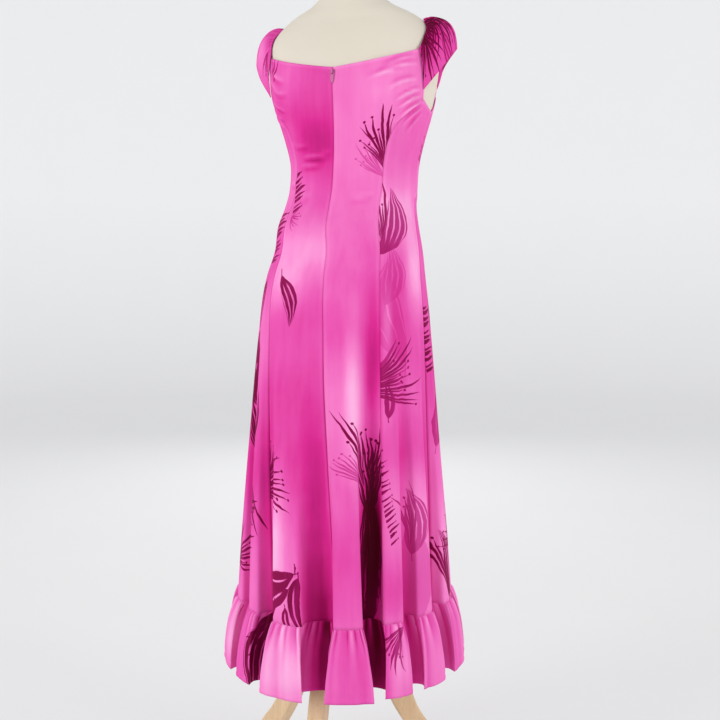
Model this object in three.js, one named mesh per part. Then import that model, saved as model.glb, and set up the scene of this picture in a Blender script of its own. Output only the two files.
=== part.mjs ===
// A ruffled hula dance dress worn by a dress form on a three-legged wooden stand.
//
// Units are millimetres and +Z is up. The front of the dress faces -Y, so the wearer's right is -X.
// The origin is on the floor, under the middle of the whole object in plan.
//
// The dress is cut in seven long panels with princess seams, from the neckline to the ruffle seam. A
// gathered ruffle is sewn on below, and two elasticated cap sleeves join the back and the front over the
// shoulders. A concealed zip closes the centre back, where only its slider and pull show.
//
// Angles go round the body in degrees: 0 at the centre back, 90 at the wearer's right side, 180 at the
// centre front. A "turn" counts seams instead: 0 is the centre back seam, 1 the next seam to the wearer's
// right, and so on to 7, which is the centre back again. Folds and gathers are placed by turn, because they
// belong to the cloth.

import * as THREE from "three";

// ---------------------------------------------------------------- driving dimensions

const CLOTH = 1.6; // thickness of the cloth walls
const SEAM_GAP = 0.3; // between two pieces that are sewn together
const FORM_EASE = 0.9; // between the dress form and the cloth that fits it

const HEM_Z = 279; // the ruffle's edge at the front and sides
const RUFFLE_SEAM_Z = 401; // where the ruffle is sewn to the panels
const BACK_DIP = 16; // how much lower the skirt hangs at the centre back
const DIP_FROM_Z = 860;
const HIP_Z = 958;
const WAIST_Z = 1158;
const CHEST_Z = 1260;
const ARMHOLE_Z = 1314; // where the back princess seams run into the armholes
const FRONT_ARMHOLE_Z = 1328; // and the front ones
const UNDERARM_Z = 1295;
const FORM_BOTTOM_Z = 880;
const FORM_FINE_FROM_Z = 1020; // from here to the chest the form's rings lie at the dress's own levels

const TORSO_X = -8; // the body's own axis stands a little off the middle of the skirt
const TORSO_Y = -25;
const PLAN_MIDDLE = { x: 1.5, y: 14.5 }; // the middle of everything in plan, from the middle of the skirt

// ---------------------------------------------------------------- colours

const PINK = new THREE.MeshStandardMaterial({ color: 0xe85aae, roughness: 0.62, metalness: 0 });
const PINK_RUFFLE = new THREE.MeshStandardMaterial({ color: 0xe0489f, roughness: 0.62, metalness: 0 });
const WINE = new THREE.MeshStandardMaterial({ color: 0xb0256e, roughness: 0.62, metalness: 0 });
const ZIP_PAINT = new THREE.MeshStandardMaterial({ color: 0xb04a80, roughness: 0.35, metalness: 0.3 });
const LINEN = new THREE.MeshStandardMaterial({ color: 0xe0d9c8, roughness: 0.9, metalness: 0 });
const BEECH = new THREE.MeshStandardMaterial({ color: 0xdfbf93, roughness: 0.5, metalness: 0 });
const STEEL = new THREE.MeshStandardMaterial({ color: 0xb9babd, roughness: 0.35, metalness: 1 });

// ---------------------------------------------------------------- tables

// The dress form's rings: half the width, and the depth behind and before the ring's centre (x, y).
const FORM_RINGS = [
  { z: 880, half: 128, back: 98, front: 88, x: -2, y: -6 },
  { z: 900, half: 139, back: 108, front: 98, x: -2, y: -6 },
  { z: 958, half: 148, back: 120, front: 112, x: -2, y: -6 },
  { z: 1000, half: 146, back: 120, front: 118, x: -3, y: -5 },
  { z: 1045, half: 137.8, back: 113.8, front: 112.8, x: -5, y: -7 },
  { z: 1090, half: 131.3, back: 104.8, front: 104.8, x: -3, y: -10 },
  { z: 1125, half: 122.8, back: 97.8, front: 97.8, x: -5, y: -18 },
  { z: 1158, half: 119.3, back: 95.8, front: 94.8, x: TORSO_X, y: TORSO_Y },
  { z: 1203, half: 119.5, back: 98.8, front: 96.8, x: -11, y: TORSO_Y },
  { z: 1248, half: 130.2, back: 103.8, front: 98.8, x: -11, y: TORSO_Y },
  { z: 1293, half: 144.6, back: 107.8, front: 99.8, x: -10, y: TORSO_Y },
  { z: 1335, half: 156, back: 107.8, front: 98.8, x: TORSO_X, y: TORSO_Y },
  { z: 1365, half: 161, back: 103.8, front: 92.8, x: TORSO_X, y: TORSO_Y },
  { z: 1399, half: 163.8, back: 95.8, front: 81.8, x: TORSO_X, y: TORSO_Y },
  { z: 1422, half: 160, back: 88, front: 73, x: TORSO_X, y: TORSO_Y },
  { z: 1442, half: 149, back: 80, front: 65, x: TORSO_X, y: TORSO_Y },
  { z: 1457, half: 134, back: 72, front: 58, x: TORSO_X, y: -24 },
  { z: 1472, half: 112, back: 65, front: 52, x: TORSO_X, y: -22 },
  { z: 1488, half: 80, back: 58, front: 48, x: TORSO_X, y: -21 },
  { z: 1504, half: 61, back: 54, front: 47, x: TORSO_X, y: -20 },
  { z: 1524, half: 54, back: 52, front: 49, x: TORSO_X, y: -20 },
  { z: 1562, half: 52, back: 51, front: 50, x: TORSO_X, y: -20 },
];

// The skirt's rings below the fitted part, on the outer face of the cloth and without its folds.
const SKIRT_RINGS = [
  { z: 401, half: 193.5, back: 186, front: 184, x: 0, y: 0 },
  { z: 504, half: 189, back: 178, front: 176, x: 0, y: 0 },
  { z: 639, half: 181, back: 166, front: 165, x: 0, y: 0 },
  { z: 729, half: 175, back: 157, front: 157, x: 0, y: 0 },
  { z: 820, half: 169, back: 148, front: 148, x: 0, y: 0 },
  { z: 910, half: 162, back: 137, front: 137, x: 0, y: 0 },
  { z: 958, half: 157, back: 130, front: 131, x: 0, y: 0 },
  { z: 1000, half: 150, back: 124, front: 125, x: -1.5, y: -2 },
];
const FITTED_FROM_Z = 1040; // above this height the dress follows the form

// Two soft cups on the front of the form, which the front panels follow.
const CUPS = { z: 1286, angle: 31, out: 17, tall: 46, wide: 21 };

// The angle of each seam at five heights.
const SEAMS = [
  { name: "centre_back", armhole: 0, chest: -0.5, waist: -2.5, hip: 2.5, hem: 12 },
  { name: "right_back_princess", armhole: 71, chest: 46.5, waist: 41.5, hip: 40.6, hem: 39.5 },
  { name: "right_side", armhole: 90, chest: 90, waist: 90, hip: 83, hem: 79 },
  { name: "right_front_princess", armhole: 109, chest: 131, waist: 137, hip: 135, hem: 128 },
  { name: "left_front_princess", armhole: 251, chest: 229, waist: 223, hip: 226, hem: 238 },
  { name: "left_side", armhole: 270, chest: 270, waist: 270, hip: 274, hem: 290 },
  { name: "left_back_princess", armhole: 289, chest: 312, waist: 313.5, hip: 315.5, hem: 333 },
  { name: "centre_back_again", armhole: 360, chest: 359.5, waist: 357.5, hip: 362.5, hem: 372 },
];
const SEAM_HEIGHTS = { hem: RUFFLE_SEAM_Z, hip: HIP_Z, waist: WAIST_Z, chest: CHEST_Z, armhole: ARMHOLE_Z };

// The skirt's folds, round the hem: each ridge stands out at one turn and the valley after it lies in at
// the next. Both fade out upwards, to nothing at the height "from".
const FOLDS = [
  { ridge: 0.3, out: 12, valley: 0.84, inward: 27, from: 1030 },
  { ridge: 1.18, out: 11, valley: 1.34, inward: 9, from: 900 },
  { ridge: 1.62, out: 13, valley: 1.94, inward: 15, from: 960 },
  { ridge: 2.2, out: 13, valley: 2.48, inward: 13, from: 940 },
  { ridge: 2.78, out: 13, valley: 3.03, inward: 16, from: 1000 },
  { ridge: 3.12, out: 12, valley: 3.22, inward: 13, from: 860 },
  { ridge: 3.33, out: 14, valley: 3.42, inward: 16, from: 960 },
  { ridge: 3.52, out: 12, valley: 3.61, inward: 13, from: 900 },
  { ridge: 3.7, out: 14, valley: 3.79, inward: 15, from: 980 },
  { ridge: 3.89, out: 12, valley: 4.0, inward: 14, from: 880 },
  { ridge: 4.2, out: 13, valley: 4.45, inward: 13, from: 960 },
  { ridge: 4.72, out: 13, valley: 5.02, inward: 15, from: 920 },
  { ridge: 5.39, out: 13, valley: 5.59, inward: 9, from: 940 },
  { ridge: 5.8, out: 12, valley: 6.02, inward: 15, from: 960 },
  { ridge: 6.33, out: 14, valley: 6.8, inward: 26, from: 800 },
];
const FOLD_GROWTH = 1.25; // power of the fade
const VALLEY_SHARPNESS = 1.6; // above 1 the ridges are broader than the valleys

// Each panel runs from its own seam to the next. Its top edge passes through stops (share of the panel's
// width, height), and "columns" is how many strips of the wall lie before each stop. "gathers" are in the
// ruffle below it.
const BACK_NECK_Z = 1367;
const BACK_CORNER_Z = 1399;
const FRONT_NECK_Z = 1324;
const FRONT_CORNER_Z = 1388;
const BACK_CORNER = 0.825;
const FRONT_CORNER = 0.08;
const PANELS = [
  {
    name: "centre_back_right",
    gathers: 10,
    start: BACK_NECK_Z,
    stops: [
      { share: BACK_CORNER, z: BACK_CORNER_Z, columns: 9 },
      { share: 1, z: ARMHOLE_Z, columns: 4 },
    ],
  },
  { name: "side_back_right", gathers: 10, start: ARMHOLE_Z, stops: [{ share: 1, z: UNDERARM_Z, columns: 11 }] },
  {
    name: "side_front_right",
    gathers: 12,
    start: UNDERARM_Z,
    stops: [{ share: 1, z: FRONT_ARMHOLE_Z, columns: 11 }],
  },
  {
    name: "centre_front",
    gathers: 30,
    start: FRONT_ARMHOLE_Z,
    stops: [
      { share: FRONT_CORNER, z: FRONT_CORNER_Z, columns: 2 },
      { share: 0.5, z: FRONT_NECK_Z, columns: 11 },
      { share: 1 - FRONT_CORNER, z: FRONT_CORNER_Z, columns: 11 },
      { share: 1, z: FRONT_ARMHOLE_Z, columns: 2 },
    ],
  },
  {
    name: "side_front_left",
    gathers: 12,
    start: FRONT_ARMHOLE_Z,
    stops: [{ share: 1, z: UNDERARM_Z, columns: 11 }],
  },
  { name: "side_back_left", gathers: 12, start: UNDERARM_Z, stops: [{ share: 1, z: ARMHOLE_Z, columns: 11 }] },
  {
    name: "centre_back_left",
    gathers: 10,
    start: ARMHOLE_Z,
    stops: [
      { share: 1 - BACK_CORNER, z: BACK_CORNER_Z, columns: 4 },
      { share: 1, z: BACK_NECK_Z, columns: 9 },
    ],
  },
];
const NECK_CURVE = 1.25; // power of the neckline's rise from its lowest point

// Heights of the wall's rows. Above the last, YOKE_ROWS more rows rise to the panel's own top edge.
const LEVELS = [401, 480, 560, 660, 760, 850, 920, 975, 1020, 1062, 1104, 1146, 1184, 1222];
const YOKE_ROWS = 6;

// The ruffle's rows, from its seam (0) to its hem (1): how far it has flared, how much deeper its folds are
// than the skirt's, and how far its gathers stand out.
const RUFFLE_ROWS = [
  { down: 0, flare: 0.3, fold: 1, gather: 1.2 },
  { down: 0.1, flare: 4.5, fold: 1.05, gather: 3 },
  { down: 0.3, flare: 12.5, fold: 1.15, gather: 2.2 },
  { down: 0.62, flare: 18.5, fold: 1.25, gather: 1 },
  { down: 1, flare: 21, fold: 1.3, gather: 0.4 },
];

// The right sleeve's ribs, from the back armhole over the shoulder to the front one. The neck edge lies on
// the form at an angle and a height. The bulge and the hem are points: out from the body's axis, back from
// it, and height.
const SLEEVE_RIBS = [
  { along: 0, neck: [59.1, 1399], bulge: null, hem: null },
  { along: 0.25, neck: [72, 1438], bulge: [176, 34, 1444], hem: [179, 25, 1372] },
  { along: 0.5, neck: [92, 1459], bulge: [190, -4, 1474], hem: [195, -6, 1405] },
  { along: 0.75, neck: [110, 1435], bulge: [168, -46, 1442], hem: [160, -50, 1380] },
  { along: 1, neck: [118.5, 1388], bulge: null, hem: null },
];
const SLEEVE_BACK_HEM = { share: 0.98, z: 1329 }; // on the centre back panel's armhole edge
const SLEEVE_FRONT_HEM = { share: 0.02, z: 1340 }; // on the centre front panel's armhole edge
const SLEEVE_GATHERS = 14;
const SLEEVE_COLUMNS = 2 * SLEEVE_GATHERS;
const SLEEVE_ACROSS = [0, 0.1, 0.24, 0.42, 0.6, 0.8, 1];
const SLEEVE_GATHER_OUT = 2.6;
const SLEEVE_LAP = 1.2; // how far the sleeve's ends lie outside the panels' faces
const SLEEVE_BESIDE = 1.2; // and beside their armhole edges
const SLEEVE_END_BULGE = 7;

// The concealed zip's bridge stands out of the centre back seam, and its pull hangs from a bar under the
// bridge.
const BRIDGE = { top: 1363, tall: 8, wide: 3, wall: 1, window: 2.6 };
const PULL = { bar: 1.2, wide: 6, eye: 3.8, eyeTall: 6.4, long: 22 };

// The stand: a steel pole, a turned hub and three legs.
const POLE = { x: 12, y: 6, radius: 14 };
const HUB = { bottom: 262, top: 378, radius: 34 };
const LEG_ANGLES = [3, 123, 243];
const LEG_THICK = 30;
const NECK_CAP_THICK = 8;

// ---------------------------------------------------------------- small helpers

const radians = THREE.MathUtils.degToRad;
const mix = THREE.MathUtils.lerp;

// The table's row at height z: a smooth curve through each column, held level past the first and last rows.
function rowAt(rows, z, key = "z") {
  if (z <= rows[0][key]) return rows[0];
  const last = rows.length - 1;
  if (z >= rows[last][key]) return rows[last];
  const i = rows.findIndex((row) => row[key] > z) - 1;
  const [a, b] = [rows[i], rows[i + 1]];
  const [before, after] = [rows[Math.max(i - 1, 0)], rows[Math.min(i + 2, last)]];
  const span = b[key] - a[key];
  const t = (z - a[key]) / span;
  const made = { [key]: z };
  for (const column of Object.keys(a)) {
    if (column === key || typeof a[column] !== "number") continue;
    const leave = ((b[column] - before[column]) / (b[key] - before[key])) * span;
    const arrive = ((after[column] - a[column]) / (after[key] - a[key])) * span;
    made[column] =
      a[column] * (1 + 2 * t) * (1 - t) ** 2 +
      leave * t * (1 - t) ** 2 +
      b[column] * t * t * (3 - 2 * t) +
      arrive * t * t * (t - 1);
  }
  return made;
}

// A point on a ring, at an angle round the body and so far outside the ring.
function ringPoint(ring, angle, out) {
  const a = radians(angle);
  const depth = Math.cos(a) > 0 ? ring.back : ring.front;
  return new THREE.Vector3(
    ring.x - (ring.half + out) * Math.sin(a),
    ring.y + (depth + out) * Math.cos(a),
    ring.z,
  );
}

// How far the cups stand out at an angle and a height.
function cupOut(angle, z) {
  const rise = Math.exp(-(((z - CUPS.z) / CUPS.tall) ** 2));
  const one = (centre) => Math.exp(-(((angle - centre) / CUPS.wide) ** 2));
  return CUPS.out * rise * (one(180 - CUPS.angle) + one(180 + CUPS.angle));
}

// ---------------------------------------------------------------- the dress's surface

const FORM_TO_FACE = FORM_EASE + CLOTH;

const fittedRings = FORM_RINGS.filter((ring) => ring.z > FITTED_FROM_Z && ring.z < 1430).map((ring) => ({
  ...ring,
  half: ring.half + FORM_TO_FACE,
  back: ring.back + FORM_TO_FACE,
  front: ring.front + FORM_TO_FACE,
}));
const dressRings = [...SKIRT_RINGS, ...fittedRings];

const seamRows = Object.entries(SEAM_HEIGHTS).map(([level, z]) => {
  const row = { z };
  SEAMS.forEach((seam, i) => (row[i] = seam[level]));
  return row;
});

// The angle of a turn at a height.
function turnAngle(turn, z) {
  const row = rowAt(seamRows, z);
  const seam = Math.min(Math.floor(turn), SEAMS.length - 2);
  return mix(row[seam], row[seam + 1], turn - seam);
}

const wholeTurn = PANELS.length;
const foldStops = FOLDS.flatMap((fold) => [
  { turn: fold.ridge, out: fold.out, from: fold.from },
  { turn: fold.valley, out: -fold.inward, from: fold.from },
]);
const foldLoop = [
  { ...foldStops.at(-1), turn: foldStops.at(-1).turn - wholeTurn },
  ...foldStops,
  { ...foldStops[0], turn: foldStops[0].turn + wholeTurn },
];

// How far a fold stands out at a turn and a height: a soft wave between each ridge and the valley beside
// it.
function foldOut(turn, z) {
  const i = foldLoop.findIndex((stop) => stop.turn > turn) - 1;
  const [a, b] = [foldLoop[i], foldLoop[i + 1]];
  const [ridge, valley] = a.out > b.out ? [a, b] : [b, a];
  const t = (turn - ridge.turn) / (valley.turn - ridge.turn);
  const grown = (stop) => {
    const share = Math.max(0, (stop.from - z) / (stop.from - RUFFLE_SEAM_Z));
    return stop.out * share ** FOLD_GROWTH;
  };
  return mix(grown(ridge), grown(valley), ((1 - Math.cos(Math.PI * t)) / 2) ** VALLEY_SHARPNESS);
}

// How much lower the cloth hangs at the back, at an angle and a height.
function backDip(angle, z) {
  const share = Math.max(0, (DIP_FROM_Z - z) / (DIP_FROM_Z - HEM_Z));
  return BACK_DIP * share * Math.max(0, Math.cos(radians(angle))) ** 2;
}

// A point of the panels: on the outer face, or so far inside it.
function dressPoint(turn, z, inside) {
  const angle = turnAngle(turn, z);
  const out = cupOut(angle, z) + foldOut(turn, z) - inside;
  const point = ringPoint(rowAt(dressRings, z), angle, out);
  point.z -= backDip(angle, z);
  return point;
}

// ---------------------------------------------------------------- walls

// A closed wall between two grids of points, grid[row][column]. The rows rise, the columns go round to the
// wearer's right, and the outer face looks out. Every square is split along its shorter diagonal.
function wall(outer, inner) {
  const rows = outer.length;
  const columns = outer[0].length;
  const points = [...outer.flat(), ...inner.flat()];
  const position = new Float32Array(points.length * 3);
  points.forEach((point, i) => point.toArray(position, i * 3));
  const out = (row, column) => row * columns + column;
  const inn = (row, column) => (rows + row) * columns + column;
  const index = [];
  const apart = (a, b) => points[a].distanceToSquared(points[b]);
  const quad = (a, b, c, d) => {
    if (apart(a, c) <= apart(b, d)) index.push(a, b, c, a, c, d);
    else index.push(a, b, d, b, c, d);
  };
  for (let r = 0; r < rows - 1; r++) {
    for (let c = 0; c < columns - 1; c++) {
      quad(out(r, c), out(r, c + 1), out(r + 1, c + 1), out(r + 1, c));
      quad(inn(r, c), inn(r + 1, c), inn(r + 1, c + 1), inn(r, c + 1));
    }
    const end = columns - 1;
    quad(out(r, 0), out(r + 1, 0), inn(r + 1, 0), inn(r, 0));
    quad(out(r, end), inn(r, end), inn(r + 1, end), out(r + 1, end));
  }
  for (let c = 0; c < columns - 1; c++) {
    const top = rows - 1;
    quad(out(0, c), inn(0, c), inn(0, c + 1), out(0, c + 1));
    quad(out(top, c), out(top, c + 1), inn(top, c + 1), inn(top, c));
  }
  const geometry = new THREE.BufferGeometry();
  geometry.setAttribute("position", new THREE.BufferAttribute(position, 3));
  geometry.setIndex(index);
  return geometry;
}

function meshOf(name, geometry, material) {
  const mesh = new THREE.Mesh(geometry, material);
  mesh.name = name;
  return mesh;
}

// Half a seam's gap, as a share of a turn at this height.
function gapShare(panel, z) {
  const degrees = turnAngle(panel + 1, z) - turnAngle(panel, z);
  const width = radians(degrees) * rowAt(dressRings, z).back;
  return SEAM_GAP / width;
}

// The height of a panel's top edge at a share of its width. A neckline rises from its lowest point by a
// power.
function topEdge(panel, share) {
  let [from, low] = [0, panel.start];
  for (const stop of panel.stops) {
    if (share <= stop.share) {
      const t = (share - from) / (stop.share - from);
      const isNeck = low === BACK_NECK_Z || low === FRONT_NECK_Z;
      const toNeck = stop.z === BACK_NECK_Z || stop.z === FRONT_NECK_Z;
      if (isNeck) return mix(low, stop.z, t ** NECK_CURVE);
      if (toNeck) return mix(stop.z, low, (1 - t) ** NECK_CURVE);
      return mix(low, stop.z, t);
    }
    [from, low] = [stop.share, stop.z];
  }
  return low;
}

// The shares of a panel's width where its wall has a column.
function panelShares(panel) {
  const shares = [0];
  for (const stop of panel.stops) {
    const from = shares.at(-1);
    for (let c = 1; c <= stop.columns; c++) shares.push(mix(from, stop.share, c / stop.columns));
  }
  return shares;
}

function panelHeights(top) {
  const chest = LEVELS.at(-1);
  const yoke = Array.from({ length: YOKE_ROWS }, (_, i) => mix(chest, top, (i + 1) / YOKE_ROWS));
  return [...LEVELS, ...yoke];
}

function panelGrid(panelNumber, inside) {
  const panel = PANELS[panelNumber];
  const shares = panelShares(panel);
  const heights = shares.map((share) => panelHeights(topEdge(panel, share)));
  return heights[0].map((_, row) =>
    shares.map((share, column) => {
      const z = heights[column][row];
      const gap = gapShare(panelNumber, z);
      return dressPoint(panelNumber + mix(gap, 1 - gap, share), z, inside);
    }),
  );
}

function makePanel(panelNumber) {
  const { name } = PANELS[panelNumber];
  const geometry = wall(panelGrid(panelNumber, 0), panelGrid(panelNumber, CLOTH));
  return meshOf(name, geometry, name.startsWith("side") ? WINE : PINK);
}

// ---------------------------------------------------------------- ruffle

// A point of the ruffle: its folds carry on from the skirt's, and its gathers are waves of two columns
// each.
function rufflePoint(turn, phase, row, inside) {
  const z = mix(RUFFLE_SEAM_Z - SEAM_GAP, HEM_Z, row.down);
  const gather = (row.gather * (1 - Math.cos(phase))) / 2;
  const out = row.flare + row.fold * foldOut(turn, RUFFLE_SEAM_Z) + gather - inside;
  const angle = turnAngle(turn, RUFFLE_SEAM_Z);
  return ringPoint({ ...SKIRT_RINGS[0], z: z - backDip(angle, z) }, angle, out);
}

// The ruffle below a run of panels, from one side seam to the other.
function ruffleGrid(panelNumbers, inside) {
  const columns = [];
  panelNumbers.forEach((number, i) => {
    const halves = 2 * PANELS[number % wholeTurn].gathers;
    for (let h = i ? 1 : 0; h <= halves; h++) columns.push({ turn: number + h / halves, phase: Math.PI * h });
  });
  const gap = gapShare(panelNumbers[0] % wholeTurn, RUFFLE_SEAM_Z);
  columns[0].turn += gap;
  columns.at(-1).turn -= gap;
  return [...RUFFLE_ROWS]
    .reverse()
    .map((row) => columns.map(({ turn, phase }) => rufflePoint(turn % wholeTurn, phase, row, inside)));
}

function makeRuffle(name, panelNumbers) {
  const geometry = wall(ruffleGrid(panelNumbers, 0), ruffleGrid(panelNumbers, CLOTH));
  return meshOf(name, geometry, PINK_RUFFLE);
}

// ---------------------------------------------------------------- sleeves

const bodyAxis = new THREE.Vector3(TORSO_X, TORSO_Y, 0);

// The point at the sleeve's end, on the armhole edge of a centre panel.
function armholePoint(panelNumber, share, z) {
  return dressPoint(panelNumber + share, z, 0);
}

// The sleeve is sewn over the armhole edge, so its end lies a little outside and beside that edge.
function clearOfEdge(point, atBack) {
  const outward = point.clone().sub(bodyAxis).setZ(0).normalize();
  const beside = new THREE.Vector3(-outward.y, outward.x, 0).multiplyScalar(atBack ? 1 : -1);
  return point.clone().addScaledVector(outward, SLEEVE_LAP).addScaledVector(beside, SLEEVE_BESIDE);
}

function ribPoints(rib) {
  const neck = ringPoint(rowAt(FORM_RINGS, rib.neck[1]), rib.neck[0], FORM_TO_FACE);
  if (rib.hem) {
    const place = ([out, back, z]) => new THREE.Vector3(-out, back, z).add(bodyAxis);
    return { neck, bulge: place(rib.bulge), hem: place(rib.hem) };
  }
  const end = rib.along === 0 ? [0, SLEEVE_BACK_HEM] : [3, SLEEVE_FRONT_HEM];
  const hem = armholePoint(end[0], end[1].share, end[1].z);
  const start = clearOfEdge(neck, rib.along === 0);
  const finish = clearOfEdge(hem, rib.along === 0);
  const middle = start.clone().lerp(finish, 0.5);
  const outward = middle.clone().sub(bodyAxis).setZ(0).normalize();
  return { neck: start, bulge: middle.addScaledVector(outward, SLEEVE_END_BULGE), hem: finish };
}

const ribs = SLEEVE_RIBS.map(ribPoints);
const ribCurves = Object.fromEntries(
  ["neck", "bulge", "hem"].map((edge) => [edge, new THREE.CatmullRomCurve3(ribs.map((rib) => rib[edge]))]),
);

// The sleeve's plain surface: a curve from the neck edge over the bulge to the hem, at each place along the
// sleeve.
function sleevePlain(along, across) {
  const [neck, bulge, hem] = ["neck", "bulge", "hem"].map((edge) => ribCurves[edge].getPoint(along));
  return new THREE.QuadraticBezierCurve3(neck, bulge, hem).getPoint(across);
}

function sleeveNormal(along, across) {
  const step = 0.01;
  const [a0, a1] = [Math.max(along - step, 0), Math.min(along + step, 1)];
  const [c0, c1] = [Math.max(across - step, 0), Math.min(across + step, 1)];
  const forward = sleevePlain(a1, across).sub(sleevePlain(a0, across));
  const outward = sleevePlain(along, c1).sub(sleevePlain(along, c0));
  return outward.cross(forward).normalize();
}

function sleevePoint(column, across, inside) {
  const along = column / SLEEVE_COLUMNS;
  const fade = Math.max(0, 1 - across / 0.5) ** 1.5;
  const ends = Math.sin(Math.PI * along) ** 0.5;
  const gather = ((SLEEVE_GATHER_OUT * (1 - Math.cos(Math.PI * column))) / 2) * fade * ends;
  return sleevePlain(along, across).addScaledVector(sleeveNormal(along, across), gather - inside);
}

function sleeveGrid(side, inside) {
  const columns = Array.from({ length: SLEEVE_COLUMNS + 1 }, (_, c) => c);
  return [...SLEEVE_ACROSS].reverse().map((across) =>
    columns.map((column) => {
      const point = sleevePoint(side > 0 ? column : SLEEVE_COLUMNS - column, across, inside);
      if (side < 0) point.x = 2 * TORSO_X - point.x;
      return point;
    }),
  );
}

function makeSleeve(name, side) {
  return meshOf(name, wall(sleeveGrid(side, 0), sleeveGrid(side, CLOTH)), WINE);
}

// ---------------------------------------------------------------- zip

// The bar that the pull turns on lies in the upper part of the bridge's window, clear of it all round.
const zipX = dressPoint(0, BRIDGE.top, 0).x;
const zipY = dressPoint(0, BRIDGE.top - BRIDGE.tall, 0).y + SEAM_GAP;
const PIN = new THREE.Vector3(
  zipX,
  zipY + BRIDGE.wall + BRIDGE.window / 2,
  BRIDGE.top - BRIDGE.wall - BRIDGE.window / 2,
);

// The bridge's outline is drawn from the side: away from the seam (x) and upwards (y).
function makeSlider() {
  const reach = BRIDGE.window + 2 * BRIDGE.wall;
  const side = new THREE.Shape();
  side.moveTo(0, 0);
  side.lineTo(reach - 1, 0);
  side.lineTo(reach, 1);
  side.lineTo(reach, BRIDGE.tall - 1);
  side.lineTo(reach - 1, BRIDGE.tall);
  side.lineTo(0, BRIDGE.tall);
  side.closePath();
  const low = BRIDGE.wall;
  const [near, far] = [BRIDGE.wall, BRIDGE.wall + BRIDGE.window];
  const high = BRIDGE.tall - BRIDGE.wall;
  const window = new THREE.Path();
  window.moveTo(near, low);
  window.lineTo(near, high);
  window.lineTo(far, high);
  window.lineTo(far, low);
  window.closePath();
  side.holes.push(window);
  const geometry = new THREE.ExtrudeGeometry(side, { depth: BRIDGE.wide, bevelEnabled: false });
  geometry.rotateX(Math.PI / 2);
  geometry.rotateZ(Math.PI / 2);
  geometry.translate(zipX - BRIDGE.wide / 2, zipY, BRIDGE.top - BRIDGE.tall);
  return meshOf("zip_slider", geometry, ZIP_PAINT);
}

// The pull is a drop-shaped plate, with an eye at its top whose upper edge is the bar.
function makePull() {
  const half = PULL.wide / 2;
  const eyeHalf = PULL.eye / 2;
  const bar = PULL.bar / 2;
  const drop = new THREE.Shape();
  drop.moveTo(-half, bar);
  drop.lineTo(-half, half - PULL.long);
  drop.absarc(0, half - PULL.long, half, Math.PI, 2 * Math.PI, false);
  drop.lineTo(half, bar);
  drop.closePath();
  const eye = new THREE.Path();
  eye.moveTo(-eyeHalf, -bar);
  eye.lineTo(eyeHalf, -bar);
  eye.lineTo(eyeHalf, -bar - PULL.eyeTall);
  eye.lineTo(-eyeHalf, -bar - PULL.eyeTall);
  eye.closePath();
  drop.holes.push(eye);
  const geometry = new THREE.ExtrudeGeometry(drop, { depth: PULL.bar, bevelEnabled: false, curveSegments: 8 });
  geometry.rotateX(Math.PI / 2);
  geometry.translate(PIN.x, PIN.y + bar, PIN.z);
  return meshOf("zip_pull", geometry, ZIP_PAINT);
}

// ---------------------------------------------------------------- dress form and stand

const FORM_COLUMNS = 48;

function formRing(z) {
  const ring = rowAt(FORM_RINGS, z);
  return Array.from({ length: FORM_COLUMNS }, (_, c) => {
    const angle = (360 * c) / FORM_COLUMNS;
    return ringPoint(ring, angle, cupOut(angle, z));
  });
}

// A closed body through rings of points, bottom ring first, with a flat face at each end.
function loft(rings) {
  const columns = rings[0].length;
  const centre = (ring) => ring.reduce((sum, p) => sum.add(p), new THREE.Vector3()).divideScalar(columns);
  const points = [...rings.flat(), centre(rings[0]), centre(rings.at(-1))];
  const position = new Float32Array(points.length * 3);
  points.forEach((point, i) => point.toArray(position, i * 3));
  const [bottom, top] = [points.length - 2, points.length - 1];
  const index = [];
  const last = (rings.length - 1) * columns;
  for (let c = 0; c < columns; c++) {
    const next = (c + 1) % columns;
    for (let r = 0; r < last; r += columns) {
      index.push(r + c, r + next, r + columns + next, r + c, r + columns + next, r + columns + c);
    }
    index.push(bottom, next, c, top, last + c, last + next);
  }
  const geometry = new THREE.BufferGeometry();
  geometry.setAttribute("position", new THREE.BufferAttribute(position, 3));
  geometry.setIndex(index);
  return geometry;
}

function makeForm() {
  const fineTo = LEVELS.at(-1);
  const own = FORM_RINGS.map((ring) => ring.z).filter((z) => z < FORM_FINE_FROM_Z || z > fineTo);
  const heights = [...own, ...LEVELS.filter((z) => z >= FORM_FINE_FROM_Z)].sort((a, b) => a - b);
  return meshOf("form_torso", loft(heights.map(formRing)), LINEN);
}

function makeNeckCap() {
  const top = FORM_RINGS.at(-1);
  const geometry = new THREE.CylinderGeometry(top.half - 1, top.half - 1, NECK_CAP_THICK, 40);
  geometry.rotateX(Math.PI / 2);
  geometry.translate(top.x, top.y, top.z + SEAM_GAP + NECK_CAP_THICK / 2);
  return meshOf("form_neck_cap", geometry, BEECH);
}

function makePole() {
  const from = HUB.top + SEAM_GAP;
  const to = FORM_BOTTOM_Z - SEAM_GAP;
  const geometry = new THREE.CylinderGeometry(POLE.radius, POLE.radius, to - from, 24);
  geometry.rotateX(Math.PI / 2);
  geometry.translate(POLE.x, POLE.y, (from + to) / 2);
  return meshOf("stand_pole", geometry, STEEL);
}

// The hub is turned: a plain drum where the legs meet it, with a collar above and a button below.
function makeHub() {
  const profile = [
    [0, HUB.bottom - 14],
    [20, HUB.bottom - 12],
    [30, HUB.bottom - 2],
    [HUB.radius, HUB.bottom],
    [HUB.radius, HUB.top - 36],
    [26, HUB.top - 22],
    [24, HUB.top - 8],
    [22, HUB.top],
    [0, HUB.top],
  ].map(([r, z]) => new THREE.Vector2(r, z));
  const geometry = new THREE.LatheGeometry(profile, 32);
  geometry.rotateX(Math.PI / 2);
  geometry.translate(POLE.x, POLE.y, 0);
  return meshOf("stand_hub", geometry, BEECH);
}

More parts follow.
